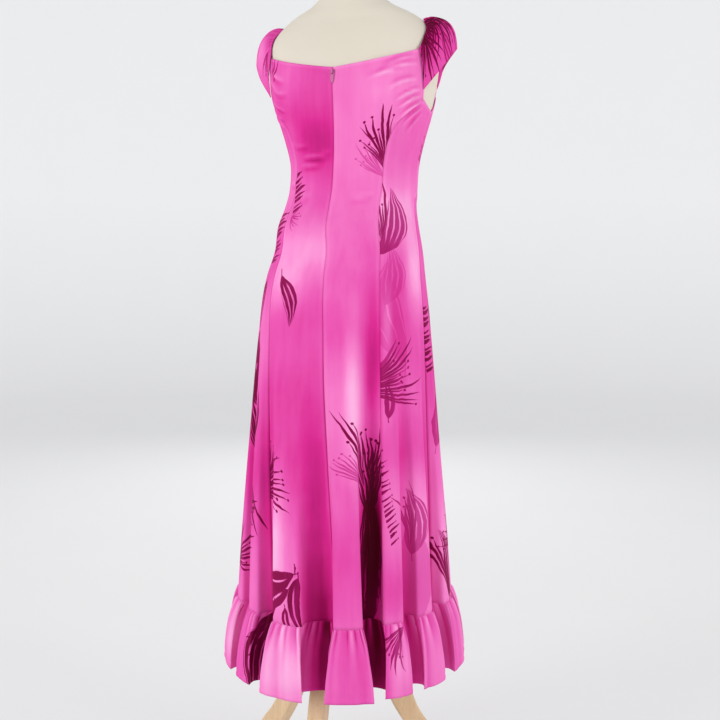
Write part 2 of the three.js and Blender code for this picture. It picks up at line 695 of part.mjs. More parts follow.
// A leg is sawn from a board. Its two edges are curves through points: out from the pole, and up from the
// floor. The upper edge leaves the hub at LEG_ROOT.top, and the lower one meets it again at
// LEG_ROOT.bottom.
const LEG_ROOT = { out: HUB.radius + SEAM_GAP, top: 334, bottom: 270 };
const LEG_UPPER = [[70, 326], [104, 294], [130, 240], [157, 160], [187, 111], [218, 74], [244, 34], [240, 0]];
const LEG_HEEL = 210;
const LEG_LOWER = [[190, 34], [164, 74], [140, 111], [111, 160], [90, 214], [66, 252]];

function makeLeg(name, angle) {
  const points = (edge) => edge.map(([out, up]) => new THREE.Vector2(out, up));
  const outline = new THREE.Shape();
  outline.moveTo(LEG_ROOT.out, LEG_ROOT.top);
  outline.splineThru(points(LEG_UPPER));
  outline.lineTo(LEG_HEEL, 0);
  outline.splineThru(points([...LEG_LOWER, [LEG_ROOT.out, LEG_ROOT.bottom]]));
  outline.closePath();
  const geometry = new THREE.ExtrudeGeometry(outline, {
    depth: LEG_THICK,
    bevelEnabled: false,
    curveSegments: 3,
  });
  geometry.translate(0, 0, -LEG_THICK / 2);
  geometry.rotateX(Math.PI / 2);
  const leg = meshOf(name, geometry, BEECH);
  leg.position.set(POLE.x, POLE.y, 0);
  leg.rotation.z = radians(angle + 90);
  return leg;
}

// ---------------------------------------------------------------- the whole object

const dress = new THREE.Group();
PANELS.forEach((_, number) => dress.add(makePanel(number)));
dress.add(makeRuffle("ruffle_back", [5, 6, 7, 8]));
dress.add(makeRuffle("ruffle_front", [2, 3, 4]));
dress.add(makeSleeve("sleeve_right", 1), makeSleeve("sleeve_left", -1));
dress.add(makeSlider(), makePull());

const stand = new THREE.Group();
stand.add(makeForm(), makeNeckCap(), makePole(), makeHub());
LEG_ANGLES.forEach((angle, i) => stand.add(makeLeg(`stand_leg_${i + 1}`, angle)));

for (const group of [dress, stand]) group.position.set(-PLAN_MIDDLE.x, -PLAN_MIDDLE.y, 0);

const hulaDressOnForm = new THREE.Group();
hulaDressOnForm.add(dress, stand);

export default hulaDressOnForm;
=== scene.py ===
# %% [markdown]
# # A hula dance dress on a dress form
#
# The dress is stretch velour, cut in seven long panels, with a gathered ruffle at the hem and two
# elasticated cap sleeves. It stands on a limbless dress form with a pole, a turned hub and three sawn legs.
#
# The solids of the part give the places and sizes. Here each of them gets a finer skin: the cloth is worked
# out as surfaces of two parameters, with folds, gathers, creases and seams, and the print is drawn by the
# shader. Every table is in millimetres, from the middle of the skirt on the floor. Metres come last.

import bpy
import numpy as np
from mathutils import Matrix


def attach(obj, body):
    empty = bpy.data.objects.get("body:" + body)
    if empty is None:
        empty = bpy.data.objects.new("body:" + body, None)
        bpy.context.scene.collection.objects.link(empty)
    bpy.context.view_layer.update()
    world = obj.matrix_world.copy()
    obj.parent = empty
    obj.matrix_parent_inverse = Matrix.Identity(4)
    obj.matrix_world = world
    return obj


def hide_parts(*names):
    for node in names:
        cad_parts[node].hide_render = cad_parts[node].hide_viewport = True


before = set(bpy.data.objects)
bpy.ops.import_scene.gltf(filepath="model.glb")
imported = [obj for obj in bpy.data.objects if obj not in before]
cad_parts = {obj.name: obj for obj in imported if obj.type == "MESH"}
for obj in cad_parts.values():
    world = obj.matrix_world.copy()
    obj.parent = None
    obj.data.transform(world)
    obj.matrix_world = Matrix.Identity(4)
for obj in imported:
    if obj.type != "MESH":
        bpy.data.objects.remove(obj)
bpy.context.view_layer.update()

# %% [markdown]
# ## Curves through tables
#
# A maker's pattern gives a few widths at a few heights, and the cloth runs smoothly between them. So a
# table of named heights is read through a cubic curve. A straight line between the rows would show as a
# kink in the skirt.

# %% Curves and small helpers
PLAN_MIDDLE = np.array([1.5, 14.5, 0.0])


def curve(xs, ys, at):
    """A smooth curve through the points (xs, ys), read at every value of at. Between two points it is a
    cubic, and its slope at a point is the slope from the point before to the point after."""
    xs, ys = np.asarray(xs, float), np.asarray(ys, float)
    at = np.clip(np.asarray(at, float), xs[0], xs[-1])
    i = np.clip(np.searchsorted(xs, at, side="right") - 1, 0, len(xs) - 2)
    before, after = np.maximum(i - 1, 0), np.minimum(i + 2, len(xs) - 1)
    span = xs[i + 1] - xs[i]
    t = (at - xs[i]) / span
    leave = (ys[i + 1] - ys[before]) / (xs[i + 1] - xs[before]) * span
    arrive = (ys[after] - ys[i]) / (xs[after] - xs[i]) * span
    return (
        ys[i] * (1 + 2 * t) * (1 - t) ** 2
        + leave * t * (1 - t) ** 2
        + ys[i + 1] * t * t * (3 - 2 * t)
        + arrive * t * t * (t - 1)
    )


def bell(x, width):
    """1 at x = 0, falling to 1/e at the width: e to the minus (x / width) squared."""
    return np.exp(-((x / width) ** 2))


def step(x, start, end):
    """0 before start, 1 after end, and 3t² - 2t³ between them."""
    t = np.clip((x - start) / (end - start), 0, 1)
    return t * t * (3 - 2 * t)


def unit(vectors):
    """Each vector divided by its length."""
    return vectors / np.linalg.norm(vectors, axis=-1, keepdims=True)


print("halfway from 0 to 10:", curve([0, 1], [0, 10], 0.5))

# %% [markdown]
# ## From a grid to a mesh
#
# Every piece is a grid of points: its rows rise and its columns go round to the wearer's right, so its
# faces look outwards. The grid becomes a mesh in one call, with a map in metres of cloth, so that the print
# lies on the cloth and runs into the folds with it.

# %% One mesh from one grid
made_pieces = {}
VELOUR_THICK = 0.0012


def grid_faces(rows, columns, wraps, closes):
    """Four corners a face: (r, c), (r, c + 1), (r + 1, c + 1) and (r + 1, c). A grid that wraps has a last
    strip of faces back to column 0, and one that closes has a last strip back to row 0."""
    r = np.arange(rows if closes else rows - 1)[:, None]
    c = np.arange(columns if wraps else columns - 1)[None, :]
    up, on = (r + 1) % rows, (c + 1) % columns
    corners = (r * columns + c, r * columns + on, up * columns + on, up * columns + c)
    return np.stack(np.broadcast_arrays(*corners), -1).reshape(-1, 4)


def skin(name, grid, cloth_map=None, wraps=False, closes=False, numbers=None):
    """A mesh object from grid[row, column] in millimetres. cloth_map is its map in metres, and numbers are
    named values at its points."""
    rows, columns = grid.shape[:2]
    faces = grid_faces(rows, columns, wraps, closes)
    mesh = bpy.data.meshes.new(name)
    mesh.from_pydata(((grid - PLAN_MIDDLE) * 0.001).reshape(-1, 3), [], faces.tolist())
    if cloth_map is not None:
        layer = mesh.uv_layers.new(name="cloth_map")
        corner = np.zeros(len(mesh.loops), np.int32)
        mesh.loops.foreach_get("vertex_index", corner)
        layer.data.foreach_set("uv", cloth_map.reshape(-1, 2)[corner].astype(np.float32).ravel())
    for key, values in (numbers or {}).items():
        attribute = mesh.attributes.new(key, "FLOAT", "POINT")
        attribute.data.foreach_set("value", values.astype(np.float32).ravel())
    mesh.shade_smooth()
    piece = bpy.data.objects.new(name, mesh)
    bpy.context.scene.collection.objects.link(piece)
    made_pieces[name] = piece
    return piece


def cloth_area(grid):
    """The area of a grid in square metres: at each face, the length of the cross product of two of its
    sides."""
    up, on = grid[1:, :-1] - grid[:-1, :-1], grid[:-1, 1:] - grid[:-1, :-1]
    return round(np.linalg.norm(np.cross(up, on), axis=2).sum() / 1e6, 4)


def stands_for(piece, node, body="dress_and_stand"):
    """Puts a finished piece in the place of one solid."""
    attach(piece, body)
    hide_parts(node)
    return piece


print("faces of a 3 by 3 grid:", len(grid_faces(3, 3, False, False)))

# %% [markdown]
# ## The body and the skirt as rings
#
# A dress form is nearly an ellipse at every height, deeper behind than before. Above the hips the dress
# fits it closely. Below, the skirt hangs free and widens to the ruffle. Both are rings: a height, half the
# width, the depth behind and before the ring's centre, and that centre.

# %% Tables of the body and the skirt
CLOTH_WALL, SEAM_GAP, FORM_EASE = 1.6, 0.3, 0.9
HEM_Z, RUFFLE_SEAM_Z, WAIST_Z = 279.0, 401.0, 1158.0
FITTED_FROM_Z, FITTED_TO_Z = 1040.0, 1430.0
TORSO_X, TORSO_Y = -8.0, -25.0
CUP_OUT, CUP_Z, CUP_TALL, CUP_ANGLES, CUP_WIDE = 17, 1286, 46, (149, 211), 21

FORM_RINGS = np.array([
    [880, 128, 98, 88, -2, -6],
    [900, 139, 108, 98, -2, -6],
    [958, 148, 120, 112, -2, -6],
    [1000, 146, 120, 118, -3, -5],
    [1045, 137.8, 113.8, 112.8, -5, -7],
    [1090, 131.3, 104.8, 104.8, -3, -10],
    [1125, 122.8, 97.8, 97.8, -5, -18],
    [1158, 119.3, 95.8, 94.8, TORSO_X, TORSO_Y],
    [1203, 119.5, 98.8, 96.8, -11, TORSO_Y],
    [1248, 130.2, 103.8, 98.8, -11, TORSO_Y],
    [1293, 144.6, 107.8, 99.8, -10, TORSO_Y],
    [1335, 156, 107.8, 98.8, TORSO_X, TORSO_Y],
    [1365, 161, 103.8, 92.8, TORSO_X, TORSO_Y],
    [1399, 163.8, 95.8, 81.8, TORSO_X, TORSO_Y],
    [1422, 160, 88, 73, TORSO_X, TORSO_Y],
    [1442, 149, 80, 65, TORSO_X, TORSO_Y],
    [1457, 134, 72, 58, TORSO_X, -24],
    [1472, 112, 65, 52, TORSO_X, -22],
    [1488, 80, 58, 48, TORSO_X, -21],
    [1504, 61, 54, 47, TORSO_X, -20],
    [1524, 54, 52, 49, TORSO_X, -20],
    [1562, 52, 51, 50, TORSO_X, -20],
])
SKIRT_RINGS = np.array([
    [401, 193.5, 186, 184, 0, 0],
    [504, 189, 178, 176, 0, 0],
    [639, 181, 166, 165, 0, 0],
    [729, 175, 157, 157, 0, 0],
    [820, 169, 148, 148, 0, 0],
    [910, 162, 137, 137, 0, 0],
    [958, 157, 130, 131, 0, 0],
    [1000, 150, 124, 125, -1.5, -2],
])
FORM_TO_FACE = FORM_EASE + CLOTH_WALL
fitted = FORM_RINGS[(FORM_RINGS[:, 0] > FITTED_FROM_Z) & (FORM_RINGS[:, 0] < FITTED_TO_Z)]
DRESS_RINGS = np.vstack([SKIRT_RINGS, fitted + FORM_TO_FACE * np.array([0, 1, 1, 1, 0, 0])])


def ring_point(rings, angle, z, out=0.0):
    """The ring at height z, at an angle in degrees from the middle of the back: half the width times the
    sine to the wearer's right, and the depth times the cosine to the back, each with the same distance
    added."""
    half, back, front, x, y = (curve(rings[:, 0], rings[:, k], z) for k in range(1, 6))
    a = np.radians(angle)
    depth = np.where(np.cos(a) > 0, back, front)
    across = x - (half + out) * np.sin(a)
    along = y + (depth + out) * np.cos(a)
    return np.stack(np.broadcast_arrays(across, along, z), -1)


def cup_out(angle, z):
    """Two soft cups before the chest: CUP_OUT times a bell in height and a bell in angle."""
    return CUP_OUT * bell(z - CUP_Z, CUP_TALL) * sum(bell(angle - middle, CUP_WIDE) for middle in CUP_ANGLES)


waist = ring_point(FORM_RINGS, np.arange(0, 361, 2), WAIST_Z)
print("waist round the form, cm:", round(np.linalg.norm(np.diff(waist, axis=0), axis=1).sum() / 10, 1))

# %% [markdown]
# ## Seams and folds
#
# Seven seams run down the dress. They lie closer together at the waist and swing with the skirt. A place on
# the cloth is told by its turn: seam 1 and half of the next panel is 1.5. A fold belongs to the cloth, so
# it has a turn too.
#
# Below the hips the cloth is wider than the way round, so it stands in folds. A deep fold isn't a sine
# wave: its ridge is broad and its sides fall steeply into a narrow valley. So each wave is sharpened, and
# its sides are also moved sideways, out over the valley.

# %% Tables of the seams and the folds
SEAM_Z = [401, 958, 1158, 1260, 1314]
SEAM_ANGLES = np.array([
    [12, 2.5, -2.5, -0.5, 0],
    [39.5, 40.6, 41.5, 46.5, 71],
    [79, 83, 90, 90, 90],
    [128, 135, 137, 131, 109],
    [238, 226, 223, 229, 251],
    [290, 274, 270, 270, 270],
    [333, 315.5, 313.5, 312, 289],
    [372, 362.5, 357.5, 359.5, 360],
])
# ridge at a turn, how far it stands out, valley at a turn, how far it lies in, the height where both have
# faded
FOLDS = np.array([
    [0.3, 13, 0.84, 36, 1030],
    [1.18, 13, 1.36, 16, 900],
    [1.62, 14, 1.94, 22, 960],
    [2.2, 14, 2.48, 20, 940],
    [2.78, 14, 3.03, 23, 1000],
    [3.12, 13, 3.22, 18, 860],
    [3.33, 15, 3.42, 22, 960],
    [3.52, 13, 3.61, 18, 900],
    [3.7, 15, 3.79, 21, 980],
    [3.89, 13, 4.0, 20, 880],
    [4.2, 14, 4.45, 19, 960],
    [4.72, 14, 5.02, 23, 920],
    [5.39, 14, 5.59, 15, 940],
    [5.8, 13, 6.02, 22, 960],
    [6.37, 15, 6.87, 34, 820],
])
FOLD_GROWTH, VALLEY_SHARPNESS, FOLD_OVERHANG = 1.15, 1.75, 0.2
PANEL_WIDE, FRONT_WIDE = 115, 330  # about, round the ruffle's seam with the folds left out
DIP, DIP_FROM_Z = 16, 860

stops = np.stack([FOLDS[:, [0, 1, 4]], FOLDS[:, [2, 3, 4]] * [1, -1, 1]], 1).reshape(-1, 3)
fold_loop = np.vstack([stops[-1] - [7, 0, 0], stops, stops[0] + [7, 0, 0]])


def turn_angle(turn, z):
    """The angle of a turn at a height: each seam's own curve, and in even shares between two seams."""
    turn, z = np.broadcast_arrays(turn, z)
    seams = np.stack([curve(SEAM_Z, row, z) for row in SEAM_ANGLES])
    i = np.clip(np.floor(turn).astype(int), 0, 6)
    low = np.take_along_axis(seams, i[None], 0)[0]
    high = np.take_along_axis(seams, i[None] + 1, 0)[0]
    return low + (high - low) * (turn - i)


def fold(turn, z, sharpness=VALLEY_SHARPNESS):
    """(outwards, sideways) in mm. From a ridge to the valley beside it, outwards falls as ((1 - cos πt) /
    2) to a power, mixed with a quarter of t², and sideways is a sine of one whole wave of a share of their
    distance, so that the ridge hangs over."""
    turn, z = np.broadcast_arrays(turn, z)
    i = np.clip(np.searchsorted(fold_loop[:, 0], turn, side="right") - 1, 0, len(fold_loop) - 2)
    a, b = fold_loop[i], fold_loop[i + 1]
    first = (a[..., 1] > b[..., 1])[..., None]
    ridge, valley = np.where(first, a, b), np.where(first, b, a)
    t = (turn - ridge[..., 0]) / (valley[..., 0] - ridge[..., 0])
    grown = [
        np.clip((end[..., 2] - z) / (end[..., 2] - RUFFLE_SEAM_Z), 0, None) ** FOLD_GROWTH
        for end in (ridge, valley)
    ]
    down = 0.75 * ((1 - np.cos(np.pi * t)) / 2) ** sharpness + 0.25 * t * t
    outwards = ridge[..., 1] * grown[0] * (1 - down) + valley[..., 1] * grown[1] * down
    apart = (valley[..., 0] - ridge[..., 0]) * np.where((turn > 3.03) & (turn < 4), FRONT_WIDE, PANEL_WIDE)
    return outwards, FOLD_OVERHANG * apart * grown[1] * np.sin(2 * np.pi * t)


def back_dip(angle, z):
    """The skirt hangs DIP lower at the middle of the back, in shares of the cosine squared, and less and
    less up to DIP_FROM_Z."""
    share = np.clip((DIP_FROM_Z - z) / (DIP_FROM_Z - HEM_Z), 0, None)
    return DIP * share * np.clip(np.cos(np.radians(angle)), 0, None) ** 2


print("fold loop", fold_loop.shape, "deepest valley", FOLDS[:, 3].max(), "mm")

# %% [markdown]
# ## Creases
#
# Where the bodice is pulled, short creases run from the armholes and from the neckline's corners, and the
# stretch cloth gathers a little in the small of the back. They are few and each is different, so they are
# listed one by one: a line from one place to another, with a soft ridge along it. They only stand out,
# because the form lies behind.

# %% The creases and the dress's own surface
# from angle, height, to angle, height, half the width of the ridge, how far it stands out
CREASES = np.array([
    [66, 1330, 44, 1306, 3.5, 2.4],
    [68, 1319, 47, 1292, 3.5, 2.4],
    [70, 1309, 50, 1277, 3.5, 2.2],
    [72, 1300, 54, 1263, 3.5, 2.0],
    [74, 1290, 60, 1252, 3.5, 1.6],
    [60, 1346, 38, 1328, 4.5, 2.0],
    [56, 1384, 32, 1362, 5, 2.2],
    [60, 1372, 28, 1350, 5, 2.0],
    [48, 1356, 22, 1343, 5, 1.4],
    [44, 1388, 24, 1378, 5, 1.4],
    [296, 1325, 316, 1300, 4, 2.2],
    [293, 1312, 312, 1282, 3.5, 2.0],
    [292, 1300, 308, 1268, 3.5, 1.6],
    [303, 1340, 324, 1330, 5, 1.5],
    [303, 1378, 322, 1352, 6, 2.0],
    [300, 1364, 312, 1335, 5, 1.8],
    [324, 1218, 357, 1222, 5, 2.2],
    [318, 1204, 350, 1206, 5, 1.4],
    [314, 1240, 336, 1236, 5, 1.4],
    [300, 1176, 318, 1168, 4.5, 1.4],
    [20, 1216, 42, 1226, 5, 1.2],
    [318, 1150, 340, 1146, 6, 1.0],
    [12, 1143, 36, 1150, 6, 1.0],
    [118, 1312, 140, 1300, 4.5, 2.0],
    [122, 1328, 146, 1320, 5, 1.7],
    [242, 1312, 221, 1301, 4.5, 2.1],
    [238, 1330, 214, 1319, 5, 1.6],
    [126, 1160, 156, 1152, 6, 1.2],
    [234, 1156, 206, 1150, 6, 1.1],
    [84, 1150, 104, 1144, 5, 1.3],
    [276, 1152, 256, 1143, 5, 1.2],
])
MM_A_DEGREE = 2.2  # about, round the bodice
CREASE_GAIN, CREASE_SLIM, CREASE_BEND = 2.4, 0.8, 0.08


def crease_out(angle, z, trough=0.0):
    """The sum over the creases of their height, times a bell of the distance from the line, times a taper
    that is 0 at both ends. A trough of that share may lie beside each."""
    total = np.zeros(np.broadcast(angle, z).shape)
    for a0, z0, a1, z1, wide, high in CREASES:
        start, end = np.array([a0 * MM_A_DEGREE, z0]), np.array([a1 * MM_A_DEGREE, z1])
        way = end - start
        length = np.hypot(*way)
        px, pz = angle * MM_A_DEGREE - start[0], z - start[1]
        along = (px * way[0] + pz * way[1]) / length**2
        bent = CREASE_BEND * length * np.sin(np.pi * np.clip(along, 0, 1))
        off = (px * way[1] - pz * way[0]) / length - bent
        taper = np.where((along > 0) & (along < 1), np.sin(np.pi * np.clip(along, 0, 1)) ** 0.8, 0)
        slim = CREASE_SLIM * wide
        ridge = bell(off, slim) - trough * bell(off - 1.5 * wide, slim)
        total = total + CREASE_GAIN * high * ridge * taper
    return total


def dress_point(turn, z, out=0.0):
    """The dress's outer face: its ring, with the cups, the folds and the creases added."""
    angle = turn_angle(turn, z)
    outwards, sideways = fold(turn, z)
    round_by = sideways / (np.radians(1) * curve(DRESS_RINGS[:, 0], DRESS_RINGS[:, 2], z))
    total = cup_out(angle, z) + outwards + crease_out(angle, z) + out
    point = ring_point(DRESS_RINGS, angle + round_by, z, total)
    point[..., 2] -= back_dip(angle, z)
    return point


print("the waist's half width, mm:", round(TORSO_X - dress_point(1.99, WAIST_Z)[0], 1))

# %% [markdown]
# ## Shader maths
#
# A print drawn by nodes is a long sum, and wiring it by hand is slow to read. One small class wraps a
# socket, so that `1 - mask * 2` writes the Math nodes. Every other node comes from one method.

# %% A socket that Python can calculate with
class Wire:
    """One output socket. Its operators add Math nodes, and node() adds any other node."""

    def __init__(self, tree, socket=None):
        self.tree, self.socket = tree, socket

    def node(self, kind, inputs=None, out=0, stops=None, **settings):
        """A new node: its settings first, then its ramp's stops, then the values or links of its inputs."""
        made = self.tree.nodes.new("ShaderNode" + kind)
        for key, value in settings.items():
            setattr(made, key, value)
        if stops:
            ramp = made.color_ramp
            while len(ramp.elements) < len(stops):
                ramp.elements.new(0.5)
            for element, (place, colour) in zip(ramp.elements, stops):
                element.position, element.color = place, (*colour, 1)
        for key, value in (inputs or {}).items():
            if isinstance(value, Wire):
                self.tree.links.new(value.socket, made.inputs[key])
            else:
                made.inputs[key].default_value = value
        return Wire(self.tree, made.outputs[out]) if len(made.outputs) else Wire(self.tree)

    def math(self, operation, *values):
        return self.node("Math", dict(enumerate(values)), operation=operation)

    def __pow__(self, other):
        return self.math("POWER", self, other)

    def __neg__(self):
        return 0 - self

    def __abs__(self):
        return self.math("ABSOLUTE", self)

    def at_most(self, other):
        return self.math("MINIMUM", self, other)

    def at_least(self, other):
        return self.math("MAXIMUM", self, other)

    def below(self, limit, soft):
        """1 where the value is under the limit, 0 where it is over, with a soft edge so wide."""
        return self.node(
            "MapRange",
            {"Value": limit - self, "From Min": -soft / 2, "From Max": soft / 2},
            interpolation_type="SMOOTHSTEP",
        )

    def mixed(self, first, second):
        """The colour first where this is 0, and second where it is 1."""
        return self.node("Mix", {0: self, 6: first, 7: second}, out=2, data_type="RGBA")


for sign, operation in (("add", "ADD"), ("sub", "SUBTRACT"), ("mul", "MULTIPLY"), ("truediv", "DIVIDE")):
    setattr(Wire, f"__{sign}__", lambda wire, other, way=operation: wire.math(way, wire, other))
    setattr(Wire, f"__r{sign}__", lambda wire, other, way=operation: wire.math(way, other, wire))


def new_group(name, numbers):
    """An empty group of nodes with those numbers going in and one mask coming out."""
    tree = bpy.data.node_groups.new(name, "ShaderNodeTree")
    for number in numbers:
        tree.interface.new_socket(number, in_out="INPUT", socket_type="NodeSocketFloat")
    tree.interface.new_socket("Mask", in_out="OUTPUT", socket_type="NodeSocketFloat")
    entry = tree.nodes.new("NodeGroupInput")
    wires = {number: Wire(tree, entry.outputs[number]) for number in numbers}
    return tree, wires


def end_group(tree, mask):
    tree.links.new(mask.socket, tree.nodes.new("NodeGroupOutput").inputs["Mask"])
    return tree


print("operators on a socket are ready")

# %% [markdown]
# ## Three motifs of the print
#
# The print is laid on in brush strokes. A flower is a fan of strokes with dots at their tips, a comb is a
# row of strokes side by side, and a leaf is parted by pale lines from its stalk to its tip. Each is drawn
# once, as a group of nodes that gives a mask from the place on the cloth. The fan and the comb share one
# rule for a stroke: the fan counts them by the angle and the comb by the way across.

# %% The fan, the comb and the leaf
NUMBERS = ["U", "V", "X", "Y", "Turn", "Size", "Spread", "Curl", "Rays", "Seed"]


def local_axes(wires):
    """The place from the motif's foot, turned so that the motif points up: (across, along) in metres."""
    dx, dy = wires["U"] - wires["X"], wires["V"] - wires["Y"]
    cosine, sine = wires["Turn"].math("COSINE", wires["Turn"]), wires["Turn"].math("SINE", wires["Turn"])
    return dx * cosine - dy * sine, dx * sine + dy * cosine


def strokes(size, r, count, cell):
    """Strokes side by side. r is the way along them over the size, count their running number, and cell the
    width in mm that each may take. A stroke fills its cell at the foot, but at most 5% of the size, and
    narrows to its tip."""
    ray = count.math("FLOOR", count)
    chance, second = (
        count.node("TexWhiteNoise", {"W": ray * k + 0.3}, noise_dimensions="1D") for k in (1.37, 2.11)
    )
    length = 0.5 + 0.48 * chance
    off = abs(count - ray - 0.5 + (second - 0.5) * 0.45) * cell
    share = (r / length).at_least(0).at_most(1)
    broad = (cell * (0.52 - 0.14 * share)).at_most(size * (20 + 30 * second)) * (1.03 - share**3)
    stroke = off.below(broad, 0.7) * r.below(length, 0.02)
    past = (r - length) * size * 1000
    dot = ((off * off + past * past) ** 0.5).below(size * 10 + 1.1, 0.7) * chance.below(0.65, 0.01)
    return stroke.at_least(dot)


def make_flower():
    """The angle from minus to plus Spread is cut into Rays strokes, and turns by Curl times r squared."""
    tree, w = new_group("fan_of_strokes", NUMBERS)
    across, along = local_axes(w)
    r = (across * across + along * along) ** 0.5 / w["Size"]
    angle = across.math("ARCTAN2", across, along) + w["Curl"] * r * r
    cell = w["Spread"] / w["Rays"] * 2 * r * w["Size"] * 1000
    mask = strokes(w["Size"], r, (angle / w["Spread"] + 1) * w["Rays"] * 0.5 + w["Seed"], cell)
    return end_group(tree, mask * abs(angle).below(w["Spread"], 0.04))


def make_comb():
    """The way across from minus to plus Spread times the size is cut into Rays strokes, and leans by Curl."""
    tree, w = new_group("comb_of_strokes", NUMBERS)
    across, along = local_axes(w)
    r = along / w["Size"]
    side = across / (w["Spread"] * w["Size"]) + w["Curl"] * r
    cell = w["Spread"] / w["Rays"] * 2 * w["Size"] * 1000
    mask = strokes(w["Size"] * 2, r, (side + 1) * w["Rays"] * 0.5 + w["Seed"], cell * 0.8)
    return end_group(tree, mask * abs(side).below(1, 0.02) * (-r).below(0, 0.02))


def make_leaf():
    """Half the width is half of Spread times the size, times the sine of π times the way along to a power.
    Pale lines part it into Rays blades of equal shares, and are broadest half way along."""
    tree, w = new_group("leaf_of_blades", NUMBERS)
    across, along = local_axes(w)
    s = (along / w["Size"]).at_least(0).at_most(1)
    bent = (across - w["Curl"] * w["Size"] * s * (1 - s) * 2) * 1000
    half = w["Spread"] * w["Size"] * 500 * s.math("SINE", (s**0.8) * np.pi)
    inside = abs(bent).below(half, 0.8) * abs(along / w["Size"] - 0.5).below(0.5, 0.01)
    blade = (bent / (half + 0.3) * 0.5 + 0.5) * w["Rays"] + w["Seed"] * s
    gap = (0.5 - abs(blade - blade.math("FLOOR", blade) - 0.5)) * half * 2 / w["Rays"]
    line = gap.below(0.2 + 1.5 * s.math("SINE", s * np.pi), 0.5) * (0.22 - s).below(0, 0.16)
    stalk = abs(bent).below(1.1, 0.5) * abs(along / w["Size"] + 0.04).below(0.07, 0.02)
    return end_group(tree, (inside * (1 - line * 0.85)).at_least(stalk))


MOTIFS = {"flower": make_flower(), "comb": make_comb(), "leaf": make_leaf()}
print({name: len(tree.nodes) for name, tree in MOTIFS.items()})

# %% [markdown]
# ## The velour
#
# Stretch velour is a knit with a short cut pile. The pile drinks the dye deeply, so it is dark and rich
# where it is looked into and pale where light grazes it. A rough base with a faint sheen layer gives a
# little of that. The ground is dyed in soft clouds from deep magenta to pale pink, and the print is wine.
# The cloth carries a number at its points that holds the dye together with painted light: painted shade
# in the folds' valleys, the creases' troughs and the gathers, and painted highlights on the ridges, along
# the top edges and beside the seams.

# %% The velour's material
# The ramp colours the dye and the painted shade and highlights alike, from deep to pale.
DYE_AND_SHADE_RAMP = [
    (0.0, (0.12, 0.0008, 0.022)),
    (0.16, (0.36, 0.004, 0.115)),
    (0.36, (0.64, 0.022, 0.26)),
    (0.58, (0.74, 0.088, 0.40)),
    (0.8, (0.84, 0.2, 0.53)),
    (1.0, (0.90, 0.40, 0.69)),
]


def new_material(name):
    material = bpy.data.materials.new(name)
    material.use_nodes = True
    material.node_tree.nodes.clear()
    return material, Wire(material.node_tree)


def finish(wire, colour, roughness, bump_height=None, bump=0.0, distance=0.0001, **constants):
    """The last nodes of a material: the shader, its constants, its bump, and the output."""
    inputs = {"Base Color": colour, "Roughness": roughness}
    if bump_height is not None:
        inputs["Normal"] = wire.node("Bump", {"Height": bump_height, "Strength": bump, "Distance": distance})
    inputs.update({key.replace("_", " "): value for key, value in constants.items()})
    shader = wire.node("BsdfPrincipled", inputs)
    wire.node("OutputMaterial", {"Surface": shader})


def velour(name, motifs):
    """motifs: kind, (x, y) on the cloth in mm, direction in degrees from up, size in mm, spread, curl,
    rays, seed, and how dark it is."""
    material, wire = new_material(name)
    cloth_map = wire.node("UVMap", uv_map="cloth_map")
    place = wire.node("TexCoord", out=3)
    sway = wire.node("TexNoise", {"Vector": place, "Scale": 26.0, "Detail": 2.5}, out=1)
    u, v = (
        wire.node("SeparateXYZ", {0: cloth_map}, out=k)
        + (wire.node("SeparateXYZ", {0: sway}, out=k) - 0.5) * 0.011
        for k in (0, 1)
    )
    cloud = wire.node("TexNoise", {"Vector": place, "Scale": 9.0, "Detail": 3.0})
    hanging = wire.node("Mapping", {"Vector": place, "Scale": (55.0, 55.0, 6.0)})
    streak = wire.node("TexNoise", {"Vector": hanging, "Scale": 1.0, "Detail": 3.0})
    # The number at the points is the dye's clouds plus painted shade and highlights of the folds, creases,
    # gathers, top edges and seams.
    dye_and_painted_shade = wire.node("Attribute", attribute_name="dye_and_painted_shade", out=2) + (cloud - 0.5) * 0.2 + (streak - 0.5) * 0.16
    dark = None
    for kind, x, y, turn, size, spread, curl, rays, seed, amount in motifs:
        spread = np.radians(spread) if kind == "flower" else spread
        values = {"U": u, "V": v, "X": x / 1000, "Y": y / 1000, "Turn": np.radians(turn), "Size": size / 1000}
        values.update(Spread=spread, Curl=curl, Rays=rays, Seed=seed)
        mask = wire.node("Group", values, node_tree=MOTIFS[kind]) * amount
        dark = mask if dark is None else dark.at_least(mask)
    dark = dark * (0.72 + 0.5 * streak).at_most(1)
    ground = wire.node("ValToRGB", {0: dye_and_painted_shade * (1 - 0.6 * dark)}, stops=DYE_AND_SHADE_RAMP)
    # The print darkens where the ground is deep, so it takes the painted shade of the valleys too.
    wine = (1.4 * dye_and_painted_shade - 0.2).at_least(0).at_most(1).mixed((0.06, 0.0004, 0.008, 1), (0.17, 0.001, 0.035, 1))
    colour = (dark * dark).mixed(ground, wine)
    pile_bump_and_painted_shade = wire.node("TexNoise", {"Vector": place, "Scale": 1400.0, "Detail": 2.0})
    nap = wire.node("TexNoise", {"Vector": place, "Scale": 30.0, "Detail": 3.0})
    finish(
        wire, colour, 0.62 + (nap - 0.5) * 0.12, pile_bump_and_painted_shade, 0.25, 0.0004,
        Sheen_Weight=0.05, Sheen_Roughness=0.28, Sheen_Tint=(1.0, 0.2, 0.5, 1), Specular_IOR_Level=0.05,
    )
    return material


def dress_cloth(name, grid, cloth, tone, motifs):
    """A piece of the dress in the place of its solid: a skin that carries its dye with its painted shade and
    highlights, and its print, with a wall inwards from the face that shows."""
    piece = skin(name + "_cloth", grid, cloth * 0.001, numbers={"dye_and_painted_shade": tone})
    piece.data.materials.append(velour("velour_" + name, motifs))
    wall = piece.modifiers.new("wall", "SOLIDIFY")
    wall.thickness = VELOUR_THICK
    wall.offset = -1
    wall.use_quality_normals = True
    stands_for(piece, name)


print("dye stops", len(DYE_AND_SHADE_RAMP))
